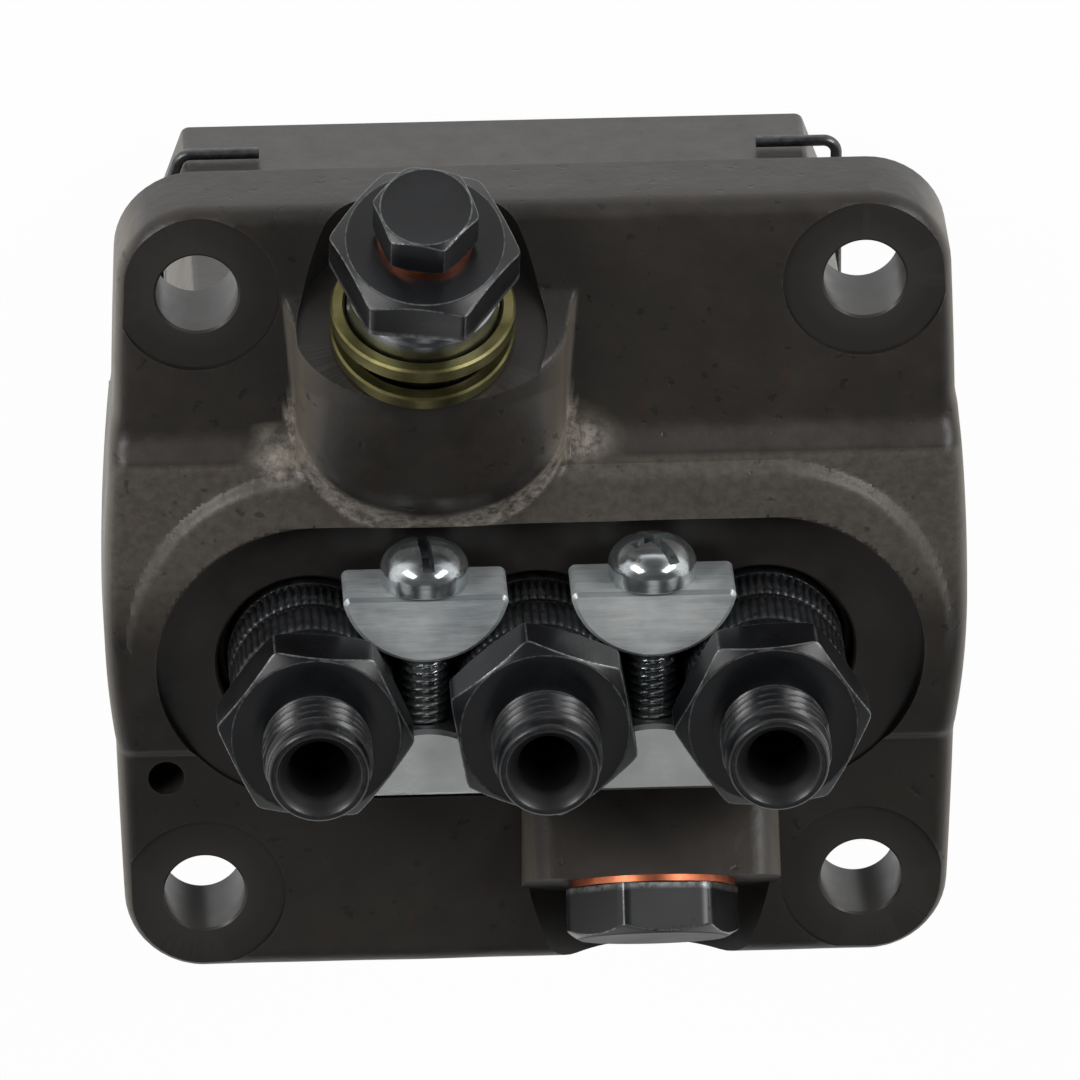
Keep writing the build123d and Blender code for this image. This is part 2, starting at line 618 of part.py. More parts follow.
def control_rack():
    length = RACK_X1 - RACK_X0
    body = Pos((RACK_X0 + RACK_X1) / 2, RACK_Y, RACK_Z) * Rot(0, 90, 0) * Cylinder(RACK_R, length)
    body = body - block(RACK_X0 - 1, RACK_X1 + 1, RACK_TIP_Y - 5, RACK_TIP_Y, RACK_Z - 6, RACK_Z + 6)
    # straight-flanked tooth spaces, one centred on each sleeve
    root = 2.25 * MODULE
    slope = math.tan(math.radians(PRESSURE_DEG))
    half = TOOTH_PITCH / 4
    tip_half = half + MODULE * slope
    root_half = half - 1.25 * MODULE * slope
    space = make_face(Polyline(
        (-tip_half - 0.2 * slope, RACK_TIP_Y - 0.2), (tip_half + 0.2 * slope, RACK_TIP_Y - 0.2),
        (root_half, RACK_TIP_Y + root), (-root_half, RACK_TIP_Y + root), close=True,
    ))
    cutter = Pos(0, 0, RACK_Z - 6) * extrude(space, 12)
    first = -int((PITCH + RACK_MESH) / TOOTH_PITCH)
    last = int((PITCH + RACK_TRAVEL + RACK_MESH) / TOOTH_PITCH)
    cuts = [Pos(ROW_X + n * TOOTH_PITCH, 0, 0) * cutter for n in range(first, last + 1)]
    body = body - cuts
    # guide slot on the far side, flat for the link pin at the free end
    groove_y = RACK_Y + RACK_R - GUIDE_SLOT_DEPTH
    end_room = GUIDE_SLOT_HALF_W + 0.5
    body = body - block(
        GUIDE_X - end_room, GUIDE_X + RACK_TRAVEL + end_room, groove_y, groove_y + 5,
        RACK_Z - GUIDE_SLOT_HALF_W, RACK_Z + GUIDE_SLOT_HALF_W,
    )
    body = body - block(RACK_X0 - 1, RACK_FLAT_X, RACK_Y - 6, RACK_Y + 6, RACK_Z + RACK_FLAT_HALF, RACK_Z + 6)
    return body - rod(LINK_PIN_R, RACK_Z - 1, RACK_Z + 6, LINK_PIN_X, RACK_Y)


def link_pin():
    head = RACK_Z + RACK_FLAT_HALF
    return turned([
        (0, RACK_Z - 0.9), (LINK_PIN_R, RACK_Z - 0.9), (LINK_PIN_R, head),
        (LINK_COLLAR_R, head), (LINK_COLLAR_R, head + 1), (LINK_PIN_R, head + 1),
        (LINK_PIN_R, LINK_PIN_Z1 - 0.5),
        (LINK_PIN_R - 0.5, LINK_PIN_Z1), (0, LINK_PIN_Z1),
    ], LINK_PIN_X, RACK_Y)


def rack_guide_screw():
    tip_y = RACK_Y + RACK_R - GUIDE_SLOT_DEPTH + GUIDE_TIP_GAP
    head_y = BODY_Y1
    neck_y = RACK_Y + RACK_R + 0.6
    body = turned([
        (0, tip_y), (GUIDE_TIP_R, tip_y), (GUIDE_TIP_R, neck_y), (GUIDE_THREAD_R, neck_y + 0.8),
        (GUIDE_THREAD_R, head_y), (GUIDE_HEAD_R, head_y), (GUIDE_HEAD_R, head_y + GUIDE_HEAD_H - 0.6),
        (GUIDE_HEAD_R - 0.6, head_y + GUIDE_HEAD_H), (0, head_y + GUIDE_HEAD_H),
    ])
    slot = block(-6, 6, -0.7, 0.7, head_y + GUIDE_HEAD_H - 1.5, head_y + GUIDE_HEAD_H + 1)
    return Pos(GUIDE_X, 0, RACK_Z) * Rot(-90, 0, 0) * (body - slot)


def upper_spring_seat(i):
    return turned([
        (UPPER_SEAT_R0, SEAT_STEP - UPPER_SEAT_T), (UPPER_SEAT_R1, SEAT_STEP - UPPER_SEAT_T),
        (UPPER_SEAT_R1, SEAT_STEP), (UPPER_SEAT_R0, SEAT_STEP),
    ], row_x(i), ROW_Y)


def lower_spring_seat(i):
    plate = LOWER_SEAT_Z1 - LOWER_SEAT_PLATE_T
    body = turned([
        (LOWER_SEAT_HOLE_R, TAPPET_FLOOR), (LOWER_SEAT_R, TAPPET_FLOOR), (LOWER_SEAT_R, LOWER_SEAT_Z1),
        (LOWER_SEAT_SLOT_R, LOWER_SEAT_Z1), (LOWER_SEAT_SLOT_R, plate), (LOWER_SEAT_HOLE_R, plate),
    ])
    return Pos(row_x(i), ROW_Y, 0) * body


def plunger_spring(i):
    return spring(
        PLUNGER_SPRING_R, PLUNGER_SPRING_WIRE_R, LOWER_SEAT_Z1 + SPRING_END_GAP,
        SEAT_STEP - UPPER_SEAT_T - SPRING_END_GAP, PLUNGER_SPRING_TURNS, row_x(i), ROW_Y,
    )


def tappet(i):
    body = turned([
        (0, TAPPET_END), (TAPPET_R - 0.8, TAPPET_END), (TAPPET_R, TAPPET_END + 0.8),
        (TAPPET_R, LOWER_SEAT_Z1), (TAPPET_CUP_R, LOWER_SEAT_Z1), (TAPPET_CUP_R, TAPPET_FLOOR),
        (0, TAPPET_FLOOR),
    ])
    body = body - block(
        -ROLLER_POCKET_X, ROLLER_POCKET_X, -ROLLER_POCKET_Y, ROLLER_POCKET_Y,
        TAPPET_END - 1, ROLLER_POCKET_TOP,
    )
    slot = GUIDE_PIN_R + GUIDE_PIN_FIT
    body = body - block(-slot, slot, -12, -GUIDE_PIN_TIP + 0.4, GUIDE_SLOT_END, GUIDE_SLOT_TOP)
    body = body - Pos(0, 0, ROLLER_Z) * Rot(0, 90, 0) * Cylinder(ROLLER_PIN_R, 2 * ROLLER_PIN_HALF)
    return Pos(row_x(i), ROW_Y, 0) * body


def shim(i):
    return rod(SHIM_R, TAPPET_FLOOR, TAPPET_FLOOR + SHIM_T, row_x(i), ROW_Y)


def roller(i):
    bore = ROLLER_PIN_R + ROLLER_FIT
    body = turned([
        (bore, -ROLLER_HALF), (ROLLER_R - 0.5, -ROLLER_HALF), (ROLLER_R, -ROLLER_HALF + 0.5),
        (ROLLER_R, ROLLER_HALF - 0.5), (ROLLER_R - 0.5, ROLLER_HALF), (bore, ROLLER_HALF),
    ])
    return Pos(row_x(i), ROW_Y, ROLLER_Z) * Rot(0, 90, 0) * body


def roller_pin(i):
    return Pos(row_x(i), ROW_Y, ROLLER_Z) * Rot(0, 90, 0) * Cylinder(ROLLER_PIN_R, 2 * ROLLER_PIN_HALF)


def guide_pin(i):
    y0 = BODY_Y0
    y1 = ROW_Y - GUIDE_PIN_TIP
    return Pos(row_x(i), (y0 + y1) / 2, GUIDE_PIN_Z) * Rot(90, 0, 0) * Cylinder(GUIDE_PIN_R, y1 - y0)


def wire_clip():
    # open loop: along the pin ends, round both sides and hooked on the inlet face
    x0 = BODY_X0 - WIRE_SIDE_GAP - WIRE_R
    x1 = BODY_X1 + WIRE_BOW + WIRE_R
    y0 = BODY_Y0 - WIRE_R - WIRE_PIN_GAP
    y1 = BODY_Y1 + WIRE_FACE_GAP + WIRE_R
    z = GUIDE_PIN_Z
    lean = BODY_CHAMFER_X / BODY_CHAMFER_Y
    off = (WIRE_SIDE_GAP + WIRE_R) * math.hypot(1, lean)
    top_x = BODY_X0 + BODY_CHAMFER_X - off + (y1 - BODY_Y1) * lean
    foot_y = BODY_Y1 - (BODY_X0 + BODY_CHAMFER_X - off - x0) / lean
    path = FilletPolyline(
        (BODY_X0 + WIRE_LEFT_END, y1, z), (top_x, y1, z), (x0, foot_y, z), (x0, y0, z), (x1, y0, z),
        (x1, y1, z), (BODY_X1 - WIRE_RIGHT_END, y1, z),
        radius=WIRE_BEND_R,
    )
    start = Plane(origin=path @ 0, z_dir=path % 0)
    return sweep(start * Circle(WIRE_R), path=path)


def jaw(gap, side):
    # half disc that wedges between two collars; side +1 carries the screw head
    x = row_x(gap) + PITCH / 2
    half_chord = math.sqrt(JAW_R ** 2 - (JAW_CENTRE_Y - JAW_FLAT_Y) ** 2)
    disc = Pos(0, JAW_CENTRE_Y) * Circle(JAW_R)
    face = disc & Pos(0, JAW_FLAT_Y - 2 * JAW_R) * Rectangle(4 * JAW_R, 4 * JAW_R)
    corners = [v for v in face.vertices() if abs(abs(v.X) - half_chord) < 0.2]
    face = fillet(corners, JAW_CORNER_R)
    body = Pos(0, 0, JAW_Z0) * extrude(face, JAW_Z1 - JAW_Z0)
    ends = body.faces().filter_by(GeomType.PLANE).sort_by(Axis.Z)
    body = chamfer(ends[-1].edges() + ends[0].edges(), JAW_EDGE_R)
    hole_r = SCREW_HOLE_R if side > 0 else SCREW_R
    body = body - Pos(0, JAW_FLAT_Y, SCREW_Z) * Rot(90, 0, 0) * Cylinder(hole_r, 30)
    return Pos(x, ROW_Y, 0) * Rot(0, 0, 0 if side > 0 else 180) * body


def clamp_screw(gap):
    x = row_x(gap) + PITCH / 2
    y_tip = -JAW_FLAT_Y - SCREW_TIP_PAST
    head = JAW_FLAT_Y + SCREW_HEAD_H
    rim = head - SCREW_HEAD_DOME
    dome = []
    for k in range(SCREW_DOME_STEPS):
        a = math.pi / 2 * k / SCREW_DOME_STEPS
        dome.append((SCREW_HEAD_R * math.cos(a), rim + SCREW_HEAD_DOME * math.sin(a)))
    body = turned([
        (0, y_tip), (SCREW_R - 0.7, y_tip), (SCREW_R, y_tip + 0.7), (SCREW_R, JAW_FLAT_Y),
        (SCREW_HEAD_R, JAW_FLAT_Y), *dome, (0, head),
    ])
    half = SCREW_SLOT_W / 2
    low = head - SCREW_SLOT_DEPTH
    body = body - block(-half, half, -6, 6, low, head + 1)
    body = body - block(-SCREW_CROSS_HALF, SCREW_CROSS_HALF, -half, half, low - 0.3, head + 1)
    turn = 4 if gap < 0 else 32
    return Pos(x, ROW_Y, SCREW_Z) * Rot(-90, 0, 0) * Rot(0, 0, turn) * body


def union_bolt():
    hex_end = SHANK_LENGTH + UNION_HEX_H
    body = turned([
        (0, -UNION_THREAD_DEPTH + 0.8), (UNION_THREAD_R - 0.8, -UNION_THREAD_DEPTH + 0.8),
        (UNION_THREAD_R, -UNION_THREAD_DEPTH + 1.6), (UNION_THREAD_R, 0), (SHANK_R, 0),
        (SHANK_R, SHANK_LENGTH + 0.5), (0, SHANK_LENGTH + 0.5),
    ])
    body = body + hex_prism(
        UNION_HEX_AF, SHANK_LENGTH, hex_end, UNION_HEX_TURN, UNION_HEX_END_R, UNION_HEX_CHAMFER)
    body = body - rod(UNION_HOLE_R, -UNION_THREAD_DEPTH - 1, UNION_HOLE_TOP)
    body = body - rod(UNION_PASSAGE_R, UNION_HOLE_TOP - 0.5, hex_end - BLEED_THREAD_L + 0.5)
    body = body - rod(BLEED_THREAD_R, hex_end - BLEED_THREAD_L, hex_end + 1)
    cross = Pos(0, 0, CROSS_HOLE_AT) * Rot(0, 90, 0) * Cylinder(CROSS_HOLE_R, 2 * SHANK_R + 2)
    return UNION_FRAME * (body - cross)


def ring(r0, r1, z0, z1):
    return rod(r1, z0, z1) - rod(r0, z0 - 1, z1 + 1)


def seal_ring(r0, r1, t):
    # flat ring with softened edges, mid-plane on z = 0
    e = 0.25
    h = t / 2
    return turned([(r0, -h), (r1 - e, -h), (r1, -h + e), (r1, h - e), (r1 - e, h), (r0 + e, h), (r0, h - e)])


def bleed_screw():
    base = SHANK_LENGTH + UNION_HEX_H + BLEED_WASHER_T
    thread_end = base - BLEED_WASHER_T - BLEED_THREAD_L + BLEED_TIP_GAP
    body = rod(BLEED_THREAD_R, thread_end, base + 1)
    return UNION_FRAME * (body + hex_prism(
        BLEED_HEX_AF, base, base + BLEED_HEX_H, BLEED_HEX_TURN, BLEED_HEX_END_R, BLEED_HEX_CHAMFER))


def bleed_washer():
    base = SHANK_LENGTH + UNION_HEX_H
    body = ring(BLEED_THREAD_R, BLEED_WASHER_R, base, base + BLEED_WASHER_T)
    return UNION_FRAME * body


def gallery_plug():
    head = PLUG_WASHER_T
    body = rod(PLUG_THREAD_R, -PLUG_THREAD_DEPTH + 0.6, head + 0.5)
    body = body + hex_prism(
        PLUG_HEX_AF, head, head + PLUG_HEX_H, PLUG_HEX_TURN, PLUG_HEX_END_R, PLUG_HEX_CHAMFER)
    return PLUG_FRAME * body


def gallery_end_plug(side):
    wall = BODY_X1 if side > 0 else BODY_X0
    centre = wall - side * (GALLERY_PLUG_SUNK + GALLERY_PLUG_LENGTH / 2)
    return Pos(centre, GALLERY_Y, GALLERY_Z) * Rot(0, 90, 0) * Cylinder(GALLERY_R, GALLERY_PLUG_LENGTH)


def oring(i):
    centre_r = (BORE_R + MOUTH_R) / 2
    return Pos(row_x(i), ROW_Y, MOUTH_FLOOR + ORING_MINOR_R) * Torus(centre_r, ORING_MINOR_R)


def group(items):
    return Compound(children=[item for item in items])


def main():
    os.makedirs("parts", exist_ok=True)
    gaps = (-1, 0)
    nodes = {
        "pump_housing": housing(),
        "barrel_locating_pins": group([
            rod(PIN_R, PIN_END, PIN_TOP, row_x(i), ROW_Y - PIN_OFFSET) for i in ELEMENTS]),
        "valve_seat_gaskets": group([
            turned([(GASKET_R0, SEAT_TOP), (GASKET_R1, SEAT_TOP), (GASKET_R1, HOLDER_FOOT),
                    (GASKET_R0, HOLDER_FOOT)], row_x(i), ROW_Y) for i in ELEMENTS]),
        "holder_orings": group([oring(i) for i in ELEMENTS]),
        "upper_spring_seats": group([upper_spring_seat(i) for i in ELEMENTS]),
        "tappet_guide_pins": group([guide_pin(i) for i in ELEMENTS]),
        "tappet_pin_clip": wire_clip(),
        "clamp_jaws_upper": group([jaw(g, 1) for g in gaps]),
        "clamp_jaws_lower": group([jaw(g, -1) for g in gaps]),
        "clamp_screws": group([clamp_screw(g) for g in gaps]),
        "inlet_union_bolt": union_bolt(),
        "inlet_washer_lower": UNION_FRAME * Pos(0, 0, WASHER_T / 2)
        * seal_ring(WASHER_R0, WASHER_R1, WASHER_T),
        "inlet_washer_upper": UNION_FRAME * Pos(0, 0, UPPER_WASHER_MID) * Rot(UPPER_WASHER_TILT, 0, 0)
        * seal_ring(WASHER_R0, WASHER_R1, WASHER_T),
        "bleed_screw": bleed_screw(),
        "bleed_washer": bleed_washer(),
        "gallery_plug": gallery_plug(),
        "gallery_plug_washer": PLUG_FRAME * ring(PLUG_THREAD_R, PLUG_WASHER_R, 0, PLUG_WASHER_T),
        "gallery_end_plugs": group([gallery_end_plug(s) for s in (-1, 1)]),
        "control_rack": control_rack(),
        "rack_link_pin": link_pin(),
        "rack_guide_screw": rack_guide_screw(),
    }
    makers = {
        "barrel": barrel,
        "delivery_valve_seat": valve_seat,
        "delivery_valve": delivery_valve,
        "delivery_valve_spring": valve_spring,
        "delivery_valve_holder": holder,
        "plunger": plunger,
        "control_sleeve": control_sleeve,
        "plunger_spring": plunger_spring,
        "lower_spring_seat": lower_spring_seat,
        "tappet_body": tappet,
        "tappet_shim": shim,
        "tappet_roller": roller,
        "tappet_roller_pin": roller_pin,
    }
    for name, make in makers.items():
        for i in ELEMENTS:
            nodes[f"{name}_{i + 2}"] = make(i)
    for name, shape in nodes.items():
        export_step(shape, f"parts/{name}.step")
        print(name, round(shape.volume, 1), len(shape.solids()))


main()
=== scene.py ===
import json
import math

import bpy
import numpy as np
from mathutils import Matrix, Vector


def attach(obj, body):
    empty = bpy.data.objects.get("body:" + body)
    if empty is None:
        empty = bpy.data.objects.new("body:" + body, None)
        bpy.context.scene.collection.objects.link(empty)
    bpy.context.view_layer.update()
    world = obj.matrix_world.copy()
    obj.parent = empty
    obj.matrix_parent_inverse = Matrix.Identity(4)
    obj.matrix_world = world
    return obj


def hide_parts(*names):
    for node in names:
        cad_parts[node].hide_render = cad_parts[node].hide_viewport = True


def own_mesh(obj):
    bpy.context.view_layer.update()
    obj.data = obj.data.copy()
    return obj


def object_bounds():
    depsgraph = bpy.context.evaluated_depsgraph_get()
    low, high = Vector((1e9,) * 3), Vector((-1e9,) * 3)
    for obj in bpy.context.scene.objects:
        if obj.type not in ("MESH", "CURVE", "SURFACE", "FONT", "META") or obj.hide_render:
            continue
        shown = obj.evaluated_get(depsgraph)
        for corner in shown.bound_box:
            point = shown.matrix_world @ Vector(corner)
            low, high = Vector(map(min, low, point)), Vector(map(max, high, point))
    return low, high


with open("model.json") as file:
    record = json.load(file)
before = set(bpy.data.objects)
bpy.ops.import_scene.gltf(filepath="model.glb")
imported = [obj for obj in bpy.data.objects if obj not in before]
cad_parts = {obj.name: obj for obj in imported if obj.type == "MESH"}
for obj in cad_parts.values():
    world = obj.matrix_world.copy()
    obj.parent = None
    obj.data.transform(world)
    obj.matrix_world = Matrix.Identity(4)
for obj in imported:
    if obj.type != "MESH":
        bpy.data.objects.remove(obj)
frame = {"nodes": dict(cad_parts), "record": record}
CAD_BOX = [list(corner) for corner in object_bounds()]
MM = 0.001

# ---- sizes shared with the solids, in millimetres ----
PITCH = 25.0                             # between neighbouring elements
ROW_X = 0.4                              # middle element
ROW_Y = -8.2                             # row of elements
FACE = 10.8                              # spotface level above the flange's underside
SKIN_TOP = FACE + 0.5                    # cast skin beside the spotfaces
BOLT_PITCH = 73.0                        # square pattern
BOLT_HOLE_R = 4.5
SPOTFACE_R = 9.0
ELEMENTS = (1, 2, 3)
TILT = math.radians(59.0)                # inlet's and plug's axes from upright
UNION_SEAT = (ROW_X - PITCH / 2, 32.85, FACE + 3.8)
PLUG_SEAT = (ROW_X + PITCH / 2, -33.9, FACE + 5.0)


def row_x(k):
    return ROW_X + (k - 2) * PITCH


def tilted(origin, lean):
    """Frame of an inclined seat: +Z out of the seat, +X along the row."""
    out = Vector((0, lean * math.sin(TILT), math.cos(TILT)))
    side = out.cross(Vector((1, 0, 0)))
    turn = Matrix((Vector((1, 0, 0)), side, out)).transposed().to_4x4()
    return Matrix.Translation(Vector(origin)) @ turn


UNION_FRAME = tilted(UNION_SEAT, 1)
PLUG_FRAME = tilted(PLUG_SEAT, -1)


# ---------------------------------------------------------------- camera

CAMERA_TURN = (25.393, 2.515, 1.372)     # degrees about the row's X, Y and Z
CAMERA_AIM = (1.395, 0.662)              # mm, where the optical axis passes the origin
CAMERA_DISTANCE = 1771.6
FOCAL_PX = 16000.0
FRAME_PX = 1080.0
SENSOR = 36.0


def make_camera():
    """Long lens at the product shot's angle, aimed near the bolt pattern's middle."""
    tx, ty, tz = (math.radians(a) for a in CAMERA_TURN)
    seen = Matrix.Rotation(tz, 3, "Z") @ Matrix.Rotation(ty, 3, "Y") @ Matrix.Rotation(tx, 3, "X")
    to_world = seen.transposed()
    data = bpy.data.cameras.new("studio_camera")
    data.sensor_width = SENSOR
    data.lens = SENSOR * FOCAL_PX / FRAME_PX
    data.clip_start = 0.1
    data.clip_end = 20.0
    camera = bpy.data.objects.new("studio_camera", data)
    place = to_world @ Vector((CAMERA_AIM[0], CAMERA_AIM[1], CAMERA_DISTANCE))
    camera.matrix_world = Matrix.Translation(place * MM) @ to_world.to_4x4()
    bpy.context.scene.collection.objects.link(camera)
    bpy.context.scene.camera = camera


make_camera()


# ---------------------------------------------------------------- material tools

def linear(code):
    """sRGB hex to linear RGBA."""
    parts = [int(code[i:i + 2], 16) / 255 for i in (1, 3, 5)]
    return tuple(c / 12.92 if c <= 0.04045 else ((c + 0.055) / 1.055) ** 2.4 for c in parts) + (1.0,)


def add(tree, kind, inputs=None, **settings):
    """Adds a node, sets its settings and fills or links its inputs."""
    made = tree.nodes.new(kind)
    for key, value in settings.items():
        setattr(made, key, value)
    for key, value in (inputs or {}).items():
        if isinstance(value, bpy.types.NodeSocket):
            tree.links.new(value, made.inputs[key])
        else:
            made.inputs[key].default_value = value
    return made


def ramp(tree, fac, *stops):
    """Colour ramp from (position, hex or grey) stops."""
    made = add(tree, "ShaderNodeValToRGB", {"Fac": fac})
    elements = made.color_ramp.elements
    while len(elements) < len(stops):
        elements.new(0.5)
    for element, (place, colour) in zip(elements, stops):
        element.position = place
        element.color = linear(colour) if isinstance(colour, str) else (colour, colour, colour, 1)
    return made.outputs["Color"]


def noise(tree, where, size_mm, detail=3.0, rough=0.55):
    """Noise whose features are about size_mm across."""
    made = add(tree, "ShaderNodeTexNoise", {
        "Vector": where, "Scale": 1000.0 / size_mm / 2, "Detail": detail, "Roughness": rough})
    return made.outputs["Fac"]


def mix_colour(tree, fac, a, b, blend="MIX"):
    made = add(tree, "ShaderNodeMix", data_type="RGBA", blend_type=blend)
    for socket, value in zip((made.inputs[0], made.inputs[6], made.inputs[7]), (fac, a, b)):
        if isinstance(value, bpy.types.NodeSocket):
            tree.links.new(value, socket)
        else:
            socket.default_value = value
    return made.outputs[2]


def maths(tree, operation, a, b=0.0):
    return add(tree, "ShaderNodeMath", {0: a, 1: b}, operation=operation).outputs[0]


def stored(tree, name):
    """A value that the mesh keeps on its points under this name."""
    return add(tree, "ShaderNodeAttribute", attribute_name=name).outputs["Fac"]


def split(tree, vector):
    """The X, Y and Z of a vector."""
    parts = add(tree, "ShaderNodeSeparateXYZ", {"Vector": vector}).outputs
    return parts["X"], parts["Y"], parts["Z"]


def bumped(tree, height, depth_mm, normal=None):
    inputs = {"Height": height, "Distance": depth_mm * MM, "Strength": 1.0}
    if normal is not None:
        inputs["Normal"] = normal
    return add(tree, "ShaderNodeBump", inputs).outputs["Normal"]


def begin(name):
    material = bpy.data.materials.new(name)
    material.use_nodes = True
    tree = material.node_tree
    tree.nodes.clear()
    shader = add(tree, "ShaderNodeBsdfPrincipled")
    add(tree, "ShaderNodeOutputMaterial", {"Surface": shader.outputs["BSDF"]})
    where = add(tree, "ShaderNodeTexCoord").outputs["Object"]
    return material, tree, shader, where


def plug_in(tree, shader, **sockets):
    names = {"colour": "Base Color", "rough": "Roughness", "normal": "Normal", "metal": "Metallic"}
    for key, value in sockets.items():
        socket = shader.inputs[names[key]]
        if isinstance(value, bpy.types.NodeSocket):
            tree.links.new(value, socket)
        else:
            socket.default_value = value


def edges_worn(tree, low, high):
    """0 on flats and in hollows, 1 on outside edges; reads what mark_edges() stored."""
    return ramp(tree, stored(tree, "edge"), (low, 0.0), (high, 1.0))


# ---------------------------------------------------------------- materials

def cast_aluminium():
    """Die-cast aluminium, blasted and dyed dark brown-grey: a fine pebbled skin, rough crust on
    the mould's slopes and fillets with a painted highlight on it, painted light on faces turned along X,
    and small dark pits."""
    material, tree, shader, where = begin("cast_aluminium")
    broad = noise(tree, where, 14.0, 4.0)
    mottled = noise(tree, where, 2.2, 5.0, 0.65)
    colour = ramp(tree, broad, (0.30, "#26231f"), (0.52, "#2c2824"), (0.72, "#322e29"))
    colour = mix_colour(tree, 0.35, colour, ramp(tree, mottled, (0.3, "#1f1c19"), (0.7, "#39342f")))
    facing_x, facing_y, facing_z = split(tree, add(tree, "ShaderNodeNewGeometry").outputs["Normal"])
    # painted highlight on a real rough crust: faces turned along Y and up on the pad, and the fillets and
    # patches stored on the mesh
    slope = ramp(tree, maths(tree, "ABSOLUTE", facing_y), (0.36, 0.0), (0.52, 0.06))
    along = maths(tree, "MULTIPLY", split(tree, where)[1], 10.0)
    on_pad = ramp(tree, along, (0.02, 0.0), (0.03, 1.0), (0.24, 1.0), (0.27, 0.0))
    slope = maths(tree, "MULTIPLY", slope, on_pad)
    slope = maths(tree, "MULTIPLY", slope, ramp(tree, facing_z, (0.2, 0.0), (0.4, 1.0)))
    patchy = ramp(tree, noise(tree, where, 5.0, 3.0), (0.35, 0.35), (0.62, 1.0))
    slope = maths(tree, "MULTIPLY", slope, patchy)
    slope = maths(tree, "MAXIMUM", slope, ramp(tree, stored(tree, "hollow"), (0.10, 0.0), (0.45, 1.0)))
    coarse = noise(tree, where, 0.55, 4.0, 0.7)
    crust = ramp(tree, coarse, (0.36, 0.25), (0.62, 1.0))
    strongly = ramp(tree, slope, (0.3, 0.4), (0.7, 1.0))
    crust = mix_colour(tree, strongly, (0.6, 0.6, 0.6, 1.0), crust)
    # painted highlight: the crust's light colour, mixed in where the crust lies
    painted_crust_sheen = maths(tree, "MULTIPLY", slope, crust)
    colour = mix_colour(tree, maths(tree, "MULTIPLY", painted_crust_sheen, 0.9), colour, linear("#a1998d"))
    # painted light: faces turned along X are lightened
    end_wall_sheen = ramp(tree, maths(tree, "ABSOLUTE", facing_x), (0.6, 0.0), (0.9, 0.6))
    colour = mix_colour(tree, end_wall_sheen, colour, linear("#7a7266"))
    pits = noise(tree, where, 0.9, 2.0, 0.5)
    pit_mask = ramp(tree, pits, (0.27, 1.0), (0.33, 0.0))
    colour = mix_colour(tree, maths(tree, "MULTIPLY", pit_mask, 0.5), colour, linear("#12100e"))
    rusty = ramp(tree, noise(tree, where, 1.7, 3.0, 0.6), (0.66, 0.0), (0.74, 1.0))
    colour = mix_colour(tree, maths(tree, "MULTIPLY", rusty, 0.35), colour, linear("#4a2a1c"))
    worn = edges_worn(tree, 0.08, 0.25)
    colour = mix_colour(tree, maths(tree, "MULTIPLY", worn, 0.25), colour, linear("#5a534c"))
    grain = noise(tree, where, 0.30, 4.0, 0.6)
    pebbles = noise(tree, where, 1.0, 3.0, 0.6)
    normal = bumped(tree, grain, 0.020)
    normal = bumped(tree, pebbles, 0.07, normal)
    normal = bumped(tree, maths(tree, "SUBTRACT", 1.0, pit_mask), 0.04, normal)
    normal = bumped(tree, maths(tree, "MULTIPLY", slope, coarse), 0.22, normal)
    rough = ramp(tree, mottled, (0.3, 0.36), (0.7, 0.48))
    plug_in(tree, shader, colour=colour, rough=rough, normal=normal, metal=0.0)
    return material


def machined_aluminium():
    """Milled and bored aluminium under the same dark dye: smoother than the skin, with the
    cutter's fine marks."""
    material, tree, shader, where = begin("machined_aluminium")
    broad = noise(tree, where, 9.0, 4.0)
    colour = ramp(tree, broad, (0.3, "#232120"), (0.55, "#282523"), (0.75, "#2e2a28"))
    smear = noise(tree, where, 1.6, 6.0, 0.7)
    colour = mix_colour(tree, 0.25, colour, ramp(tree, smear, (0.35, "#1c1a19"), (0.7, "#3a3532")))
    worn = edges_worn(tree, 0.08, 0.25)
    colour = mix_colour(tree, maths(tree, "MULTIPLY", worn, 0.15), colour, linear("#6d6862"))
    scratches = noise(tree, where, 0.25, 3.0)
    normal = bumped(tree, scratches, 0.006)
    rough = ramp(tree, smear, (0.3, 0.30), (0.7, 0.42))
    plug_in(tree, shader, colour=colour, rough=rough, normal=normal, metal=0.0)
    return material


def black_oxide():
    """Turned steel, blackened in hot salts and oiled: near black, half glossy, with its edges
    rubbed to grey steel, painted shade in its bores and on the plug's end, and a shank left bare and
    bright."""
    material, tree, shader, where = begin("black_oxide_steel")
    cloudy = noise(tree, where, 3.5, 4.0)
    colour = ramp(tree, cloudy, (0.3, "#0e0f11"), (0.7, "#1a1b1e"))
    worn = edges_worn(tree, 0.04, 0.14)
    speck = noise(tree, where, 0.5, 3.0, 0.7)
    rub = maths(tree, "MULTIPLY", worn, ramp(tree, speck, (0.35, 0.10), (0.6, 0.9)))
    rub = maths(tree, "MULTIPLY", rub, ramp(tree, stored(tree, "thread"), (0.0, 1.0), (1.0, 0.12)))
    colour = mix_colour(tree, rub, colour, linear("#8d8e8f"))
    bare = stored(tree, "bare")
    colour = mix_colour(tree, bare, colour, ramp(tree, cloudy, (0.35, "#6f7376"), (0.65, "#a3a7aa")))
    # painted shade: near black and duller where the mesh marks the bores and the plug's end
    painted_shade = stored(tree, "painted_shade")
    colour = mix_colour(tree, painted_shade, colour, linear("#060606"))
    normal = bumped(tree, noise(tree, where, 0.3, 3.0), 0.006)
    rough = ramp(tree, cloudy, (0.3, 0.24), (0.7, 0.34))
    rough = maths(tree, "ADD", rough, maths(tree, "MULTIPLY", painted_shade, 0.25))
    metal = maths(tree, "MAXIMUM", maths(tree, "MULTIPLY", rub, 0.9), bare)
    plug_in(tree, shader, colour=colour, rough=rough, normal=normal, metal=metal)
    return material


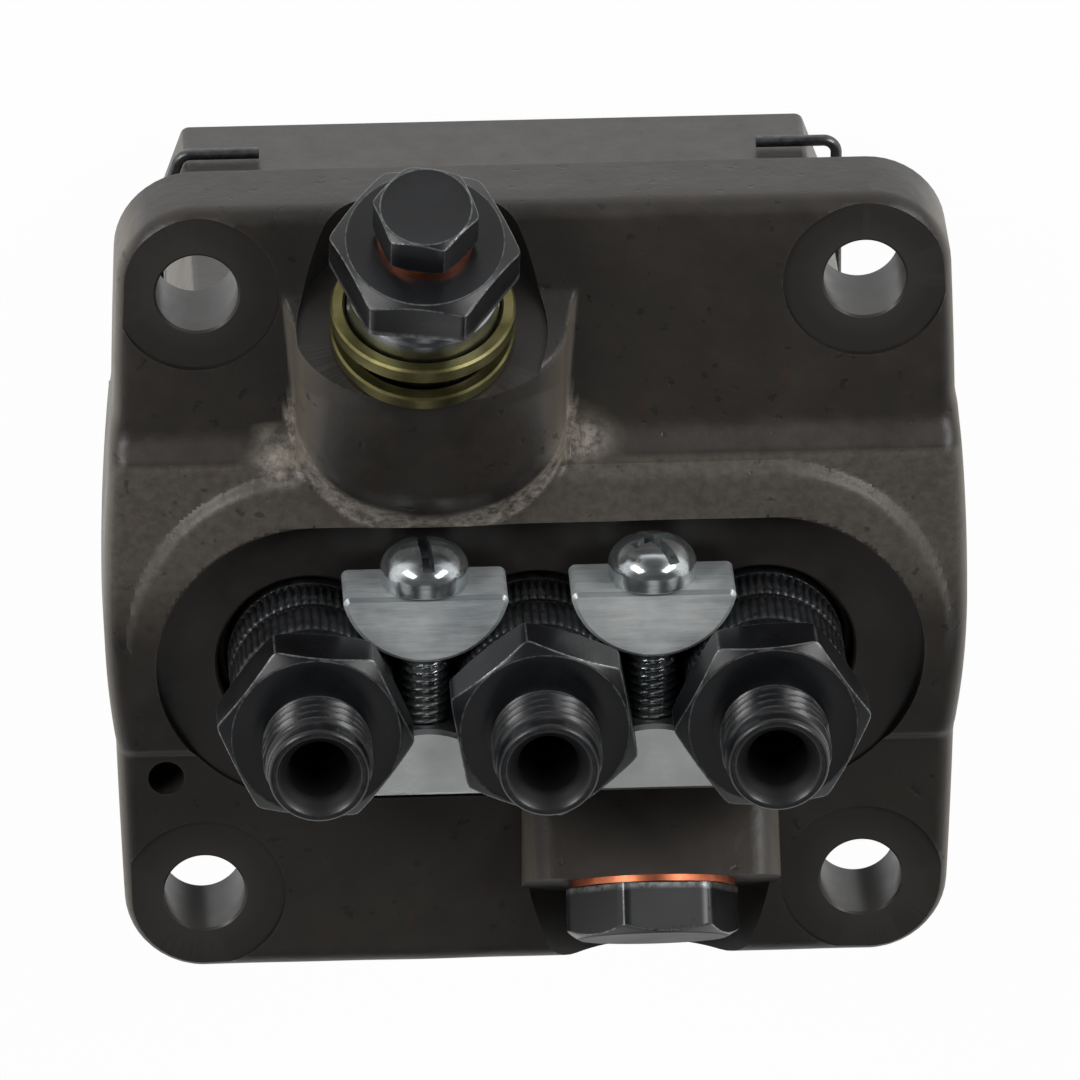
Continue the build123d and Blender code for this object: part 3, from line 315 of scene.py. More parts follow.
def bright_zinc(name, metal, shine, painted_light=0.0):
    """Steel, electroplated with blue-white zinc: bright, slightly bluish, with the sawn and
    ground grain of the bar under it and painted shade on faces leaning between Y and Z. Screws are rolled
    and headed, so theirs shines more; a paler copy of the finish is painted light for parts in shade."""
    material, tree, shader, where = begin(name)
    stretch = add(tree, "ShaderNodeMapping", {"Vector": where, "Scale": (0.10, 1.0, 1.0)})
    grain = noise(tree, stretch.outputs[0], 0.32, 4.0, 0.7)
    cloudy = noise(tree, where, 4.0, 3.0)
    colour = ramp(tree, grain, (0.30, "#9aa2a6"), (0.70, "#e6eaea"))
    colour = mix_colour(tree, 0.5, colour, ramp(tree, cloudy, (0.35, "#8d959a"), (0.65, "#e4e6e4")))
    # painted light: a paler colour for parts that stand in shade
    colour = mix_colour(tree, painted_light, colour, linear("#f6f8f8"))
    _, facing_y, facing_z = split(tree, add(tree, "ShaderNodeNewGeometry").outputs["Normal"])
    # painted shade on faces leaning about 45 degrees between +Y and +Z, and between -Y and -Z
    leaning = maths(tree, "MULTIPLY", facing_y, facing_z)
    painted_chamfer_shade = ramp(tree, leaning, (0.44, 0.0), (0.49, 0.7))
    colour = mix_colour(tree, painted_chamfer_shade, colour, linear("#4c5154"))
    normal = bumped(tree, grain, 0.020)
    rough = ramp(tree, cloudy, (0.3, shine), (0.7, shine + 0.12))
    plug_in(tree, shader, colour=colour, rough=rough, normal=normal, metal=metal)
    return material


def yellow_zinc():
    """Zinc plated washer steel with a yellow-olive chromate film."""
    material, tree, shader, where = begin("yellow_zinc_steel")
    cloudy = noise(tree, where, 1.8, 4.0)
    colour = ramp(tree, cloudy, (0.3, "#575332"), (0.5, "#6e6942"), (0.7, "#827b56"))
    worn = edges_worn(tree, 0.08, 0.25)
    colour = mix_colour(tree, maths(tree, "MULTIPLY", worn, 0.6), colour, linear("#c9c08c"))
    normal = bumped(tree, noise(tree, where, 0.4, 3.0), 0.01)
    plug_in(tree, shader, colour=colour, rough=0.36, normal=normal, metal=0.9)
    return material


def copper():
    """Annealed sheet copper, slightly tarnished."""
    material, tree, shader, where = begin("annealed_copper")
    cloudy = noise(tree, where, 1.2, 4.0)
    colour = ramp(tree, cloudy, (0.3, "#a4563a"), (0.7, "#cf7f5c"))
    normal = bumped(tree, noise(tree, where, 0.4, 3.0), 0.012)
    plug_in(tree, shader, colour=colour, rough=0.38, normal=normal, metal=1.0)
    return material


def steel(name, dark, light, rough, grain_mm):
    """Bare steel as ground, lapped, turned or drawn."""
    material, tree, shader, where = begin(name)
    grain = noise(tree, where, grain_mm, 4.0, 0.65)
    colour = ramp(tree, grain, (0.3, dark), (0.7, light))
    normal = bumped(tree, grain, 0.006)
    spread = ramp(tree, noise(tree, where, 2.0, 3.0), (0.3, rough - 0.05), (0.7, rough + 0.06))
    plug_in(tree, shader, colour=colour, rough=spread, normal=normal, metal=1.0)
    return material


def nitrile():
    """Moulded nitrile rubber: matt black with a slight bloom."""
    material, tree, shader, where = begin("nitrile_rubber")
    bloom = noise(tree, where, 0.8, 3.0)
    colour = ramp(tree, bloom, (0.3, "#1b1b1c"), (0.7, "#2a2a2b"))
    plug_in(tree, shader, colour=colour, rough=0.62, normal=bumped(tree, bloom, 0.01))
    return material


MATERIALS = {
    "cast_aluminium": cast_aluminium(),
    "machined_aluminium": machined_aluminium(),
    "black_oxide_steel": black_oxide(),
    "bright_zinc_steel": bright_zinc("bright_zinc_steel", 0.4, 0.32),
    "bright_zinc_screw": bright_zinc("bright_zinc_screw", 0.9, 0.12),
    # painted light: a paler copy of the zinc, for parts that stand in shade
    "bright_zinc_painted_light": bright_zinc("bright_zinc_painted_light", 0.9, 0.24, 0.8),
    "yellow_zinc_washer": yellow_zinc(),
    "copper": copper(),
    "nitrile_rubber": nitrile(),
    "spring_steel": steel("drawn_spring_steel", "#4a4b4d", "#6d6e70", 0.34, 0.4),
    "lapped_steel": steel("lapped_steel", "#9a9c9e", "#b4b5b6", 0.22, 0.25),
    "ground_steel": steel("ground_steel", "#8e8f90", "#aaabab", 0.30, 0.3),
    "turned_steel": steel("turned_steel", "#77787a", "#949595", 0.34, 0.35),
}
FINISH_OF = {part["node"]: part["material_slot"] for part in frame["record"]["subparts"]}
# painted light: the lower jaws, shaded by the holders, get the paler copy
FINISH_OF["clamp_jaws_lower"] = "bright_zinc_painted_light"


def finish_cad_nodes():
    """Every node that stays gets its finish."""
    for name, piece in frame["nodes"].items():
        piece.data.materials.clear()
        piece.data.materials.append(MATERIALS[FINISH_OF[name]])


finish_cad_nodes()


# ---------------------------------------------------------------- mesh tools

def mesh_piece(name, points_mm, faces, materials):
    """Mesh object from points in millimetres in the row frame."""
    mesh = bpy.data.meshes.new(name)
    mesh.from_pydata((np.asarray(points_mm, float) * MM).tolist(), [], faces)
    mesh.validate()
    for material in materials:
        mesh.materials.append(MATERIALS[material])
    piece = bpy.data.objects.new(name, mesh)
    bpy.context.scene.collection.objects.link(piece)
    return piece


def soften(piece, degrees=32.0):
    """Smooth shading with creases where faces meet at more than this angle; stores the edges."""
    piece.data.polygons.foreach_set("use_smooth", [True] * len(piece.data.polygons))
    piece.data.set_sharp_from_angle(angle=math.radians(degrees))
    mark_edges(piece)


def keep(piece, name, values):
    """Stores one value on each point of the mesh, for the materials to read."""
    piece.data.attributes.new(name, "FLOAT", "POINT").data.foreach_set("value", values)


def mark(piece, name, frame_matrix, where):
    """Stores 1 on the points for which where(radius, height) holds in the turned part's frame."""
    place = np.empty(len(piece.data.vertices) * 3)
    piece.data.vertices.foreach_get("co", place)
    from_origin = place.reshape(-1, 3) / MM - np.array(frame_matrix.translation)
    local = from_origin @ np.array(frame_matrix.to_3x3())
    keep(piece, name, where(np.hypot(local[:, 0], local[:, 1]), local[:, 2]).astype(float))


def mark_edges(piece):
    """Stores on each point how far it stands proud of its neighbours."""
    mesh = piece.data
    count = len(mesh.vertices)
    place = np.empty(count * 3)
    mesh.vertices.foreach_get("co", place)
    place = place.reshape(-1, 3)
    normal = np.empty(count * 3)
    mesh.vertices.foreach_get("normal", normal)
    pairs = np.empty(len(mesh.edges) * 2, int)
    mesh.edges.foreach_get("vertices", pairs)
    a, b = pairs.reshape(-1, 2).T
    step = place[b] - place[a]
    step /= np.maximum(np.linalg.norm(step, axis=1, keepdims=True), 1e-9)
    lean = np.zeros((count, 3))
    np.add.at(lean, a, step)
    np.add.at(lean, b, -step)
    links = np.bincount(pairs, minlength=count)
    proud = -(lean * normal.reshape(-1, 3)).sum(1) / np.maximum(links, 1)
    keep(piece, "edge", np.clip(proud, 0, 1))


def placed(points, frame_matrix):
    """Points of a tilted frame, in the row frame."""
    turn = np.array(frame_matrix.to_3x3())
    return np.asarray(points) @ turn.T + np.array(frame_matrix.translation)


def ring_faces(rings, around, closed=False):
    """Quads between neighbouring rings of points, with end caps unless the profile is closed."""
    faces = []
    pairs = rings if closed else rings - 1
    for j in range(pairs):
        low = j * around
        high = ((j + 1) % rings) * around
        for i in range(around):
            n = (i + 1) % around
            faces.append((low + i, low + n, high + n, high + i))
    if not closed:
        faces.append(tuple(reversed(range(around))))
        faces.append(tuple((rings - 1) * around + i for i in range(around)))
    return faces


def turned_points(levels, around):
    """Points of a turned body from (height, radius or radii by angle) levels."""
    angle = np.arange(around) * 2 * math.pi / around
    points = []
    for z, radius in levels:
        r = np.broadcast_to(np.asarray(radius, float), angle.shape)
        points.append(np.stack([r * np.cos(angle), r * np.sin(angle), np.full(around, float(z))], 1))
    return np.concatenate(points)


def turned_piece(name, levels, around, place, materials, closed=False):
    points = placed(turned_points(levels, around), place)
    return mesh_piece(name, points, ring_faces(len(levels), around, closed), materials)


def combine(piece, other, operation):
    """Changes the piece by the other's volume; the new faces take the other's finish."""
    change = piece.modifiers.new("combine", "BOOLEAN")
    change.operation = operation
    change.solver = "MANIFOLD"
    change.object = other
    change.material_mode = "TRANSFER"
    bpy.context.view_layer.update()
    view = bpy.context.evaluated_depsgraph_get()
    made = bpy.data.meshes.new_from_object(piece.evaluated_get(view), depsgraph=view)
    piece.modifiers.remove(change)
    old = piece.data
    piece.data = made
    made.name = piece.name
    bpy.data.meshes.remove(old)
    bpy.data.objects.remove(other)


def joined(name, groups, materials):
    """One mesh from several (points, faces) groups that don't touch each other."""
    points, faces, start = [], [], 0
    for some_points, some_faces in groups:
        points.append(some_points)
        faces += [tuple(start + i for i in face) for face in some_faces]
        start += len(some_points)
    return mesh_piece(name, np.concatenate(points), faces, materials)


def cut(piece, name, groups, finish):
    """Takes the volumes of several (points, faces) groups out of the piece."""
    combine(piece, joined(name, groups, [finish]), "DIFFERENCE")


def lathe_group(levels, place, around=64):
    return placed(turned_points(levels, around), place), ring_faces(len(levels), around)


def dress(piece, node, crease=34.0):
    """Shades the finished piece and sets it in the place of its node on the housing."""
    soften(piece, crease)
    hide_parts(node)
    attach(piece, "housing")


def at(x, y, z=0.0):
    return Matrix.Translation(Vector((x, y, z)))


def smooth_max(a, b, k):
    share = np.clip(0.5 + 0.5 * (a - b) / k, 0, 1)
    return a * share + b * (1 - share) + k * share * (1 - share)


def smooth_min(a, b, k):
    return -smooth_max(-a, -b, k)


# ---------------------------------------------------------------- housing casting

PLATE_HALF = 45.3
PLATE_BOW = 1.2                          # bulge of each long side
PLATE_Y0 = -46.0
PLATE_Y1 = 46.3
PLATE_CORNER = 8.5
PLATE_EDGE = 2.2                         # rounding of the upper rim
PAD_HALF = 46.4
PAD_Y0 = -18.2
PAD_FRONT = FACE + 1.3
PAD_TOP = FACE + 3.8
PAD_BEND_Y = 1.0                         # where the pad's front slope levels out
PAD_RAMP_TOP_Y = 15.6
PAD_RAMP_FOOT_Y = 19.6
COLLAR_R = 19.2                          # raised band round the pocket
COLLAR_Y = -4.3
PAD_SHOULDER_DROP = 1.2                  # of the pad outside that band
HUMP_X = -11.1
HUMP_HALF = 14.9
HUMP_ARCH = 10.0                         # from its crest down to its flanks
HUMP_LIP_Y = 35.5                        # where its cast rim dies into the skin
HUMP_END_Y = 9.7                         # where its rounded end stands on the pad
HUMP_CREST = (12.5, 17.8)                # y, z of a point on the crest line
HUMP_CREST_RISE = 0.306
BOSS_X = PLUG_SEAT[0]
BOSS_HALF = 14.2
BOSS_TOP = 6.4                           # reach of the seat's face, up and down its slope
BOSS_LOW = 12.0
BOSS_FALL = math.radians(41.5)
BOSS_FOOT_Y = -17.8
BOSS_ROUND = 3.6
WAVER = 0.05                             # slow unevenness of the cast faces
CRUST_STEP = 0.4                         # over which a fillet's bend is measured
LEFT_PATCH = (-27.4, 17.0)               # crusted corners between the hump and the ramp, with a painted highlight
RIGHT_PATCH = (5.2, 18.6)
UPPER_SHEEN = 0.205                       # painted sheen of the pad's upper face, against full crust


def plate_half_width(y):
    """Half width of the flange at y, with the pad's bulge, before the corners are rounded."""
    mid = (PLATE_Y0 + PLATE_Y1) / 2 - 4.0
    reach = np.where(y < mid, mid - PLATE_Y0, PLATE_Y1 - mid)
    plate = PLATE_HALF + PLATE_BOW * (1 - ((y - mid) / reach) ** 2)
    pad_mid = (PAD_Y0 + PAD_RAMP_FOOT_Y + 2) / 2 - 4.0
    pad_reach = np.where(y < pad_mid, pad_mid - PAD_Y0, PAD_RAMP_FOOT_Y + 2 - pad_mid)
    pad = PAD_HALF + PLATE_BOW * (1 - ((y - pad_mid) / pad_reach) ** 2)
    ends = smooth_min((y - PAD_Y0) * 1.2, (PAD_RAMP_FOOT_Y + 3 - y) * 0.45, 1.5)
    share = np.clip(ends, 0, 1)
    share = share * share * (3 - 2 * share)
    return plate + (pad - plate) * share


def hump_end(aside):
    """Where the hump's rounded end stands on the pad, at this distance from its middle."""
    return HUMP_END_Y + 0.018 * aside ** 2 + 0.00011 * aside ** 4


def casting_height(x, y):
    """Height of the casting's upper skin."""
    skin = np.full(x.shape, SKIN_TOP)
    front = PAD_FRONT + (y - PAD_Y0) * (PAD_TOP - PAD_FRONT) / (PAD_BEND_Y - PAD_Y0)
    pad = smooth_min(front, np.full(x.shape, PAD_TOP), 0.5)
    pad = smooth_min(pad, SKIN_TOP + (PAD_RAMP_FOOT_Y - y) * (PAD_TOP - SKIN_TOP)
                     / (PAD_RAMP_FOOT_Y - PAD_RAMP_TOP_Y), 1.6)
    ahead = np.maximum(np.abs(x - ROW_X - 0.3) - PITCH, 0)
    off = np.hypot(ahead, y - COLLAR_Y) - COLLAR_R
    shoulder = PAD_TOP - PAD_SHOULDER_DROP + np.clip(1.7 - off * 1.4, 0, 3)
    pad = smooth_min(pad, shoulder, 0.9)
    pad = smooth_min(pad, SKIN_TOP - 0.3 + (y - PAD_Y0 + 0.9) * 1.6, 0.5)
    z = smooth_max(skin, pad, 1.2)
    # hump under the inlet
    aside = np.abs(x - HUMP_X)
    squareness = np.interp(y, (14.0, 27.0), (3.4, 2.0))
    t = np.clip(aside / HUMP_HALF, 0, 1)
    arch = HUMP_ARCH * (1 - (1 - t ** squareness) ** (1 / squareness))
    crest = HUMP_CREST[1] + (y - HUMP_CREST[0]) * HUMP_CREST_RISE
    hump = crest - arch - np.maximum(aside - HUMP_HALF, 0) * 4.0
    end_y = hump_end(aside)
    hump = smooth_min(hump, PAD_TOP + (y - end_y) * 0.85, 0.8)
    hump = smooth_min(hump, SKIN_TOP + (HUMP_LIP_Y - y) * math.tan(TILT), 1.2)
    z = smooth_max(z, hump, 2.2)
    wave = np.sin(x * 0.21 + 1.3) * np.sin(y * 0.17 + 0.4) + 0.6 * np.sin(x * 0.47 + y * 0.39)
    return z + WAVER * wave


def blot(x, y, middle, half_x, half_y):
    """1 in the middle of a soft patch, falling away beside it."""
    return np.exp(-np.abs((x - middle[0]) / half_x) ** 1.5 - np.abs((y - middle[1]) / half_y) ** 1.5)


def crusted(x, y):
    """Share of rough crust with a painted highlight on it: in the fillets round the hump and at its end,
    in the two corners where the ramp meets it, and as a faint painted sheen over the pad's upper face."""
    step = CRUST_STEP
    around = (casting_height(x + step, y) + casting_height(x - step, y)
              + casting_height(x, y + step) + casting_height(x, y - step))
    bend = np.clip((around - 4 * casting_height(x, y)) / step ** 2, 0, 0.5)
    aside = np.abs(x - HUMP_X)
    near_hump = np.clip((27.0 - y) / 6.0, 0.12, 1) * np.clip((21.0 - aside) / 3.0, 0.12, 1)
    bend = np.where(y > 16.5, bend, 0) * near_hump
    end_y = hump_end(aside)
    band = np.exp(-((y - end_y - 0.6) / 1.5) ** 2) * np.clip((16.5 - aside) / 1.5, 0, 1)
    band = band * (0.4 + 0.6 * np.clip((aside - 2.0) / 4.0, 0, 1))
    patches = np.maximum(0.55 * blot(x, y, LEFT_PATCH, 3.6, 3.2), 0.5 * blot(x, y, RIGHT_PATCH, 4.0, 3.4))
    outside = np.clip((end_y + 1.2 - y) / 2.0, 0, 1)
    upper = UPPER_SHEEN * outside * np.clip((y + 12.0) / 16.0, 0, 1) * np.clip(17.6 - y, 0, 1)
    return np.maximum(np.maximum(bend, band), np.maximum(patches, upper))


def plate_grid():
    """Rows of points over the flange, closer at its rim and at the hump's flanks: x, y and the
    distance inward from the outline."""
    turns = np.linspace(0, math.pi / 2, 13)
    corner = PLATE_CORNER * (1 - np.cos(turns))
    inner = np.arange(PLATE_Y0 + PLATE_CORNER + 0.4, PLATE_Y1 - PLATE_CORNER - 0.2, 0.40)
    ys = np.concatenate([PLATE_Y0 + corner, inner, PLATE_Y1 - corner[::-1]])
    rim = np.array([0, 0.002, 0.007, 0.015, 0.025, 0.037])
    middle = np.linspace(0.045, 2 - 0.045, 210)
    us = np.concatenate([rim, middle, 2 - rim[::-1]]) - 1
    flanks = [np.linspace(edge - 1.6, edge + 1.6, 17) for edge in (HUMP_X - HUMP_HALF, HUMP_X + HUMP_HALF)]
    us = np.sort(np.concatenate([us] + [(f - ROW_X) / PLATE_HALF for f in flanks]))
    beyond = np.maximum(np.maximum(PLATE_Y0 + PLATE_CORNER - ys, ys - PLATE_Y1 + PLATE_CORNER), 0)
    half = plate_half_width(ys)
    half_rounded = half - PLATE_CORNER + np.sqrt(np.maximum(PLATE_CORNER ** 2 - beyond ** 2, 0))
    y = np.repeat(ys[:, None], len(us), 1)
    outer = np.clip((np.abs(us) - 0.7) / 0.3, 0, 1)
    spread = np.sign(us)[None, :] * outer[None, :] * (half_rounded - PLATE_HALF)[:, None]
    x = ROW_X + us[None, :] * PLATE_HALF + spread
    qx = np.abs(x - ROW_X) - (half[:, None] - PLATE_CORNER)
    qy = np.maximum(PLATE_Y0 + PLATE_CORNER - y, y - PLATE_Y1 + PLATE_CORNER)
    corner_reach = np.hypot(np.maximum(qx, 0), np.maximum(qy, 0))
    inset = PLATE_CORNER - corner_reach - np.minimum(np.maximum(qx, qy), 0)
    return x, y, inset


def casting_plate():
    """Flange plate with its cast upper relief, as a closed mesh standing on z = 0."""
    x, y, inset = plate_grid()
    fall = np.clip(PLATE_EDGE - inset, 0, PLATE_EDGE)
    z = casting_height(x, y) - (PLATE_EDGE - np.sqrt(np.maximum(PLATE_EDGE ** 2 - fall ** 2, 0)))
    rows, columns = x.shape
    points = np.stack([x, y, z], -1).reshape(-1, 3)
    index = np.arange(rows * columns).reshape(rows, columns)
    faces = np.stack([index[:-1, :-1], index[:-1, 1:], index[1:, 1:], index[1:, :-1]], -1).reshape(-1, 4)
    faces = [tuple(int(i) for i in face) for face in faces]
    rim_loop = np.concatenate([index[0, :-1], index[:-1, -1], index[-1, :0:-1], index[:0:-1, 0]])
    count = len(rim_loop)
    layers = [points]
    loops = [rim_loop]
    for share in (0.7, 0.35, 0.06, 0.0):
        wall = points[rim_loop]
        wall[:, 2] = wall[:, 2] * share
        loops.append(len(points) + (len(layers) - 1) * count + np.arange(count))
        layers.append(wall)
    for upper, lower in zip(loops[:-1], loops[1:]):
        for i in range(count):
            n = (i + 1) % count
            faces.append((int(upper[i]), int(lower[i]), int(lower[n]), int(upper[n])))
    faces.append(tuple(int(i) for i in loops[-1][::-1]))
    plate = mesh_piece("housing_casting", np.concatenate(layers), faces, ["cast_aluminium"])
    hollow = np.zeros(sum(len(layer) for layer in layers))
    # crust share with its painted highlight, for the material to read
    hollow[:rows * columns] = crusted(x, y).reshape(-1)
    keep(plate, "hollow", hollow)
    return plate


def prism(outlines):
    """(points, faces) through several (z, outline) sections with the same number of points."""
    points = [(x, y, z) for z, outline in outlines for x, y in outline]
    around = len(outlines[0][1])
    return np.array(points, float), ring_faces(len(outlines), around)


def plug_boss():
    """Boss of the plug: its slope falls from the seat to the pad, with rounded long edges."""
    top_y = PLUG_SEAT[1] + BOSS_TOP * math.cos(TILT)
    top_z = PLUG_SEAT[2] + BOSS_TOP * math.sin(TILT)
    low_y = PLUG_SEAT[1] - BOSS_LOW * math.cos(TILT)
    low_z = PLUG_SEAT[2] - BOSS_LOW * math.sin(TILT)
    bend = np.sin(np.linspace(0, math.pi / 2, 9)) * BOSS_ROUND
    reach = np.concatenate([-(BOSS_HALF - BOSS_ROUND + bend)[::-1], BOSS_HALF - BOSS_ROUND + bend])
    points = []
    for dx in reach:
        over = abs(dx) - (BOSS_HALF - BOSS_ROUND)
        drop = (BOSS_ROUND - math.sqrt(max(BOSS_ROUND ** 2 - over ** 2, 0))) / math.cos(BOSS_FALL)
        back = drop / (math.sin(TILT) + math.cos(TILT) * math.tan(BOSS_FALL))
        start = (top_y - back * math.cos(TILT), top_z - back * math.sin(TILT))
        foot = (BOSS_FOOT_Y, top_z - (BOSS_FOOT_Y - top_y) * math.tan(BOSS_FALL) - drop)
        for y, z in ((low_y, low_z), (BOSS_FOOT_Y, FACE - 4.0), foot, start):
            points.append((BOSS_X + dx, y, z))
    return mesh_piece("plug_boss", points, ring_faces(len(reach), 4), ["cast_aluminium"])


BODY_X0 = -38.2                          # lower body
BODY_X1 = 37.6
BODY_Y0 = ROW_Y - 16.0
BODY_Y1 = 18.0
BODY_Z0 = FACE - 87.5
BODY_CHAMFER = (2.5, 7.0)                # of its two corners toward the inlet
BODY_CORNER = 1.0


def body_outline(x0, x1, y0, y1, chamfer_x, chamfer_y, r):
    """Lower body's plan with rounded corners, counter-clockwise."""
    corners = [(x0, y0), (x1, y0), (x1, y1 - chamfer_y), (x1 - chamfer_x, y1), (x0 + chamfer_x, y1),
               (x0, y1 - chamfer_y)]
    points = []
    for k, here in enumerate(corners):
        a = Vector(corners[k - 1]) - Vector(here)
        b = Vector(corners[(k + 1) % len(corners)]) - Vector(here)
        half = a.angle(b) / 2
        reach = r / math.tan(half)
        start = Vector(here) + a.normalized() * reach
        finish = Vector(here) + b.normalized() * reach
        middle = Vector(here) + (a.normalized() + b.normalized()).normalized() * (r / math.sin(half))
        for s in range(7):
            t = s / 6
            chord = start.lerp(finish, t) - middle
            points.append(tuple(middle + chord.normalized() * r))
    return points


def lower_body():
    """Long body under the flange, with a rounded lower rim."""
    sections = []
    for z, inset in ((BODY_Z0, 0.8), (BODY_Z0 + 0.25, 0.25), (BODY_Z0 + 0.8, 0.0), (1.0, 0.0)):
        sections.append((z, body_outline(BODY_X0 + inset, BODY_X1 - inset, BODY_Y0 + inset,
                                         BODY_Y1 - inset, *BODY_CHAMFER, BODY_CORNER)))
    points, faces = prism(sections)
    return mesh_piece("lower_body", points, faces, ["cast_aluminium"])


def stadium_group(half, r, x, y, z0, z1, steps=48):
    """Upright prism with two straight sides and two half-round ends."""
    outline = []
    for k in range(steps + 1):
        a = -math.pi / 2 + math.pi * k / steps
        outline.append((x + half + r * math.cos(a), y + r * math.sin(a)))
    for k in range(steps + 1):
        a = math.pi / 2 + math.pi * k / steps
        outline.append((x - half + r * math.cos(a), y + r * math.sin(a)))
    return prism([(z0, outline), (z1, outline)])


def across(y, z, x=0.0):
    """Frame whose +Z runs along the row."""
    return Matrix.Translation(Vector((x, y, z))) @ Matrix.Rotation(math.pi / 2, 4, "Y")


def along_y(x, y, z):
    """Frame whose +Z points to +Y."""
    return Matrix.Translation(Vector((x, y, z))) @ Matrix.Rotation(-math.pi / 2, 4, "X")


MODULE = 2.5 / math.pi                   # of the rack's teeth, 2.5 mm apart
SLEEVE_TEETH = 22
RACK_Y = ROW_Y + SLEEVE_TEETH / 2 * MODULE - MODULE + 4.1
RACK_Z = FACE - 38.0
RACK_R = 4.55
GALLERY_Y = 3.0
GALLERY_Z = FACE - 16.0
GALLERY_R = 3.0
GUIDE_PIN_Z = BODY_Z0 + 12.3 - 2.0
GUIDE_PIN_R = 1.5
DOWEL_AT = (-40.6, -22.0)                # blind hole beside the pad
DOWEL_R = 2.0
POCKET_R = 17.4
INLET_SPOT_R = 13.7
PLUG_SPOT_R = 14.4
THROUGH = 60.0                           # past both ends of the body


def cut_seats(plate):
    """Machined faces and bores from above: bolt holes, inlet, plug and elements."""
    plain = "machined_aluminium"
    spot = [
        (-1, BOLT_HOLE_R), (0.0, BOLT_HOLE_R), (FACE - 0.25, BOLT_HOLE_R),
        (FACE, BOLT_HOLE_R + 0.25), (FACE, SPOTFACE_R), (FACE + 6, SPOTFACE_R)]
    half = BOLT_PITCH / 2
    holes = [lathe_group(spot, at(sx * half, sy * half), 96) for sx in (-1, 1) for sy in (-1, 1)]
    cut(plate, "spotface_cutter", holes, plain)
    union = [
        (-36.1, 3.0), (-12.0, 3.0), (-12.0, 7.0), (-0.4, 7.0), (0, 7.4), (0, INLET_SPOT_R),
        (26, INLET_SPOT_R)]
    cut(plate, "inlet_cutter", [lathe_group(union, UNION_FRAME, 128)], plain)
    plug = [(-44.5, 1.75), (-9.0, 1.75), (-9.0, 4.0), (0, 4.0), (0, PLUG_SPOT_R), (26, PLUG_SPOT_R)]
    cut(plate, "plug_cutter", [lathe_group(plug, PLUG_FRAME, 128)], plain)
    bore = [
        (BODY_Z0 - 1, 11.6), (BODY_Z0 - 0.01, 11.6), (BODY_Z0 + 0.6, 11.0), (FACE - 42.6, 11.0),
        (FACE - 42.6, 10.4), (FACE - 34.0, 10.4), (FACE - 34.0, 7.03), (FACE - 30.0, 7.03),
        (FACE - 30.0, 9.0), (FACE - 4.0, 9.0), (FACE - 4.0, 10.2), (FACE - 0.2, 10.2),
        (FACE, 10.45), (FACE + 6, 10.45)]
    cut(plate, "element_cutter", [lathe_group(bore, at(row_x(k), ROW_Y), 96) for k in ELEMENTS], plain)


def cut_cross_bores(plate):
    """Gallery and rack bores along the body, and the small holes for dowel, screw and pins."""
    plain = "machined_aluminium"
    gallery = [(-THROUGH, GALLERY_R), (THROUGH, GALLERY_R)]
    rack = [(-THROUGH, RACK_R), (THROUGH, RACK_R)]
    cut(plate, "gallery_cutter", [lathe_group(gallery, across(GALLERY_Y, GALLERY_Z), 48),
                                  lathe_group(rack, across(RACK_Y, RACK_Z), 64)], plain)
    dowel = [(SKIN_TOP - 6.0, DOWEL_R), (SKIN_TOP + 3, DOWEL_R)]
    screw = [(0, 3.0), (2 * (BODY_Y1 - RACK_Y), 3.0)]
    pin = [(-8, GUIDE_PIN_R), (8, GUIDE_PIN_R)]
    small = [lathe_group(dowel, at(*DOWEL_AT), 48),
             lathe_group(screw, along_y(PLUG_SEAT[0], RACK_Y, RACK_Z), 48)]
    small += [lathe_group(pin, along_y(row_x(k), BODY_Y0, GUIDE_PIN_Z), 32) for k in ELEMENTS]
    cut(plate, "small_hole_cutter", small, plain)


def housing_casting():
    """Casting with every machined seat, bore and hole cut into it."""
    plate = casting_plate()
    combine(plate, lower_body(), "UNION")
    pocket = stadium_group(PITCH, POCKET_R, ROW_X + 0.4, ROW_Y + 0.5, FACE, FACE + 30)
    cut(plate, "pocket_cutter", [pocket], "machined_aluminium")
    combine(plate, plug_boss(), "UNION")
    cut_seats(plate)
    cut_cross_bores(plate)
    dress(plate, "pump_housing", 30.0)


housing_casting()


# ---------------------------------------------------------------- turned and hexagonal parts

AROUND = 360                             # points in each ring of a turned part
END_CONE = 0.58                          # rise of a hexagon's end cone per mm of radius


def hexagon_r(af, turn_deg, around=AROUND, corner_r=0.35):
    """Radius by angle of a hexagon with slightly rounded corners, one corner at turn_deg."""
    angle = np.degrees(np.arange(around) * 2 * math.pi / around) - turn_deg
    from_flat = np.radians((angle % 60.0) - 30.0)
    r = af / 2 / np.cos(from_flat)
    return smooth_min(r, np.full(around, af / math.sqrt(3) - corner_r * 0.3), corner_r)


def spaced(z0, z1, step):
    """Heights from z0 to z1, about a step apart."""
    return np.linspace(z0, z1, max(2, int(round(abs(z1 - z0) / step)) + 1))


def hex_levels(af, turn, z0, z1, end_r, both=False):
    """Levels of a hexagon whose end corners are turned to a cone of end_r."""
    flats = hexagon_r(af, turn)
    depth = (af / math.sqrt(3) - end_r) * END_CONE
    levels = []
    if both:
        for z in spaced(z0, z0 + depth, 0.11):
            levels.append((z, smooth_min(flats, np.full(AROUND, end_r + (z - z0) / END_CONE), 0.12)))
    else:
        levels.append((z0, flats - 0.12))
        levels.append((z0 + 0.12, flats))
    levels += [(z, flats) for z in spaced(z0 + depth + 0.1, z1 - depth - 0.1, 1.0)]
    for z in spaced(z1 - depth, z1, 0.09):
        levels.append((z, smooth_min(flats, np.full(AROUND, end_r + (z1 - z) / END_CONE), 0.12)))
    return levels


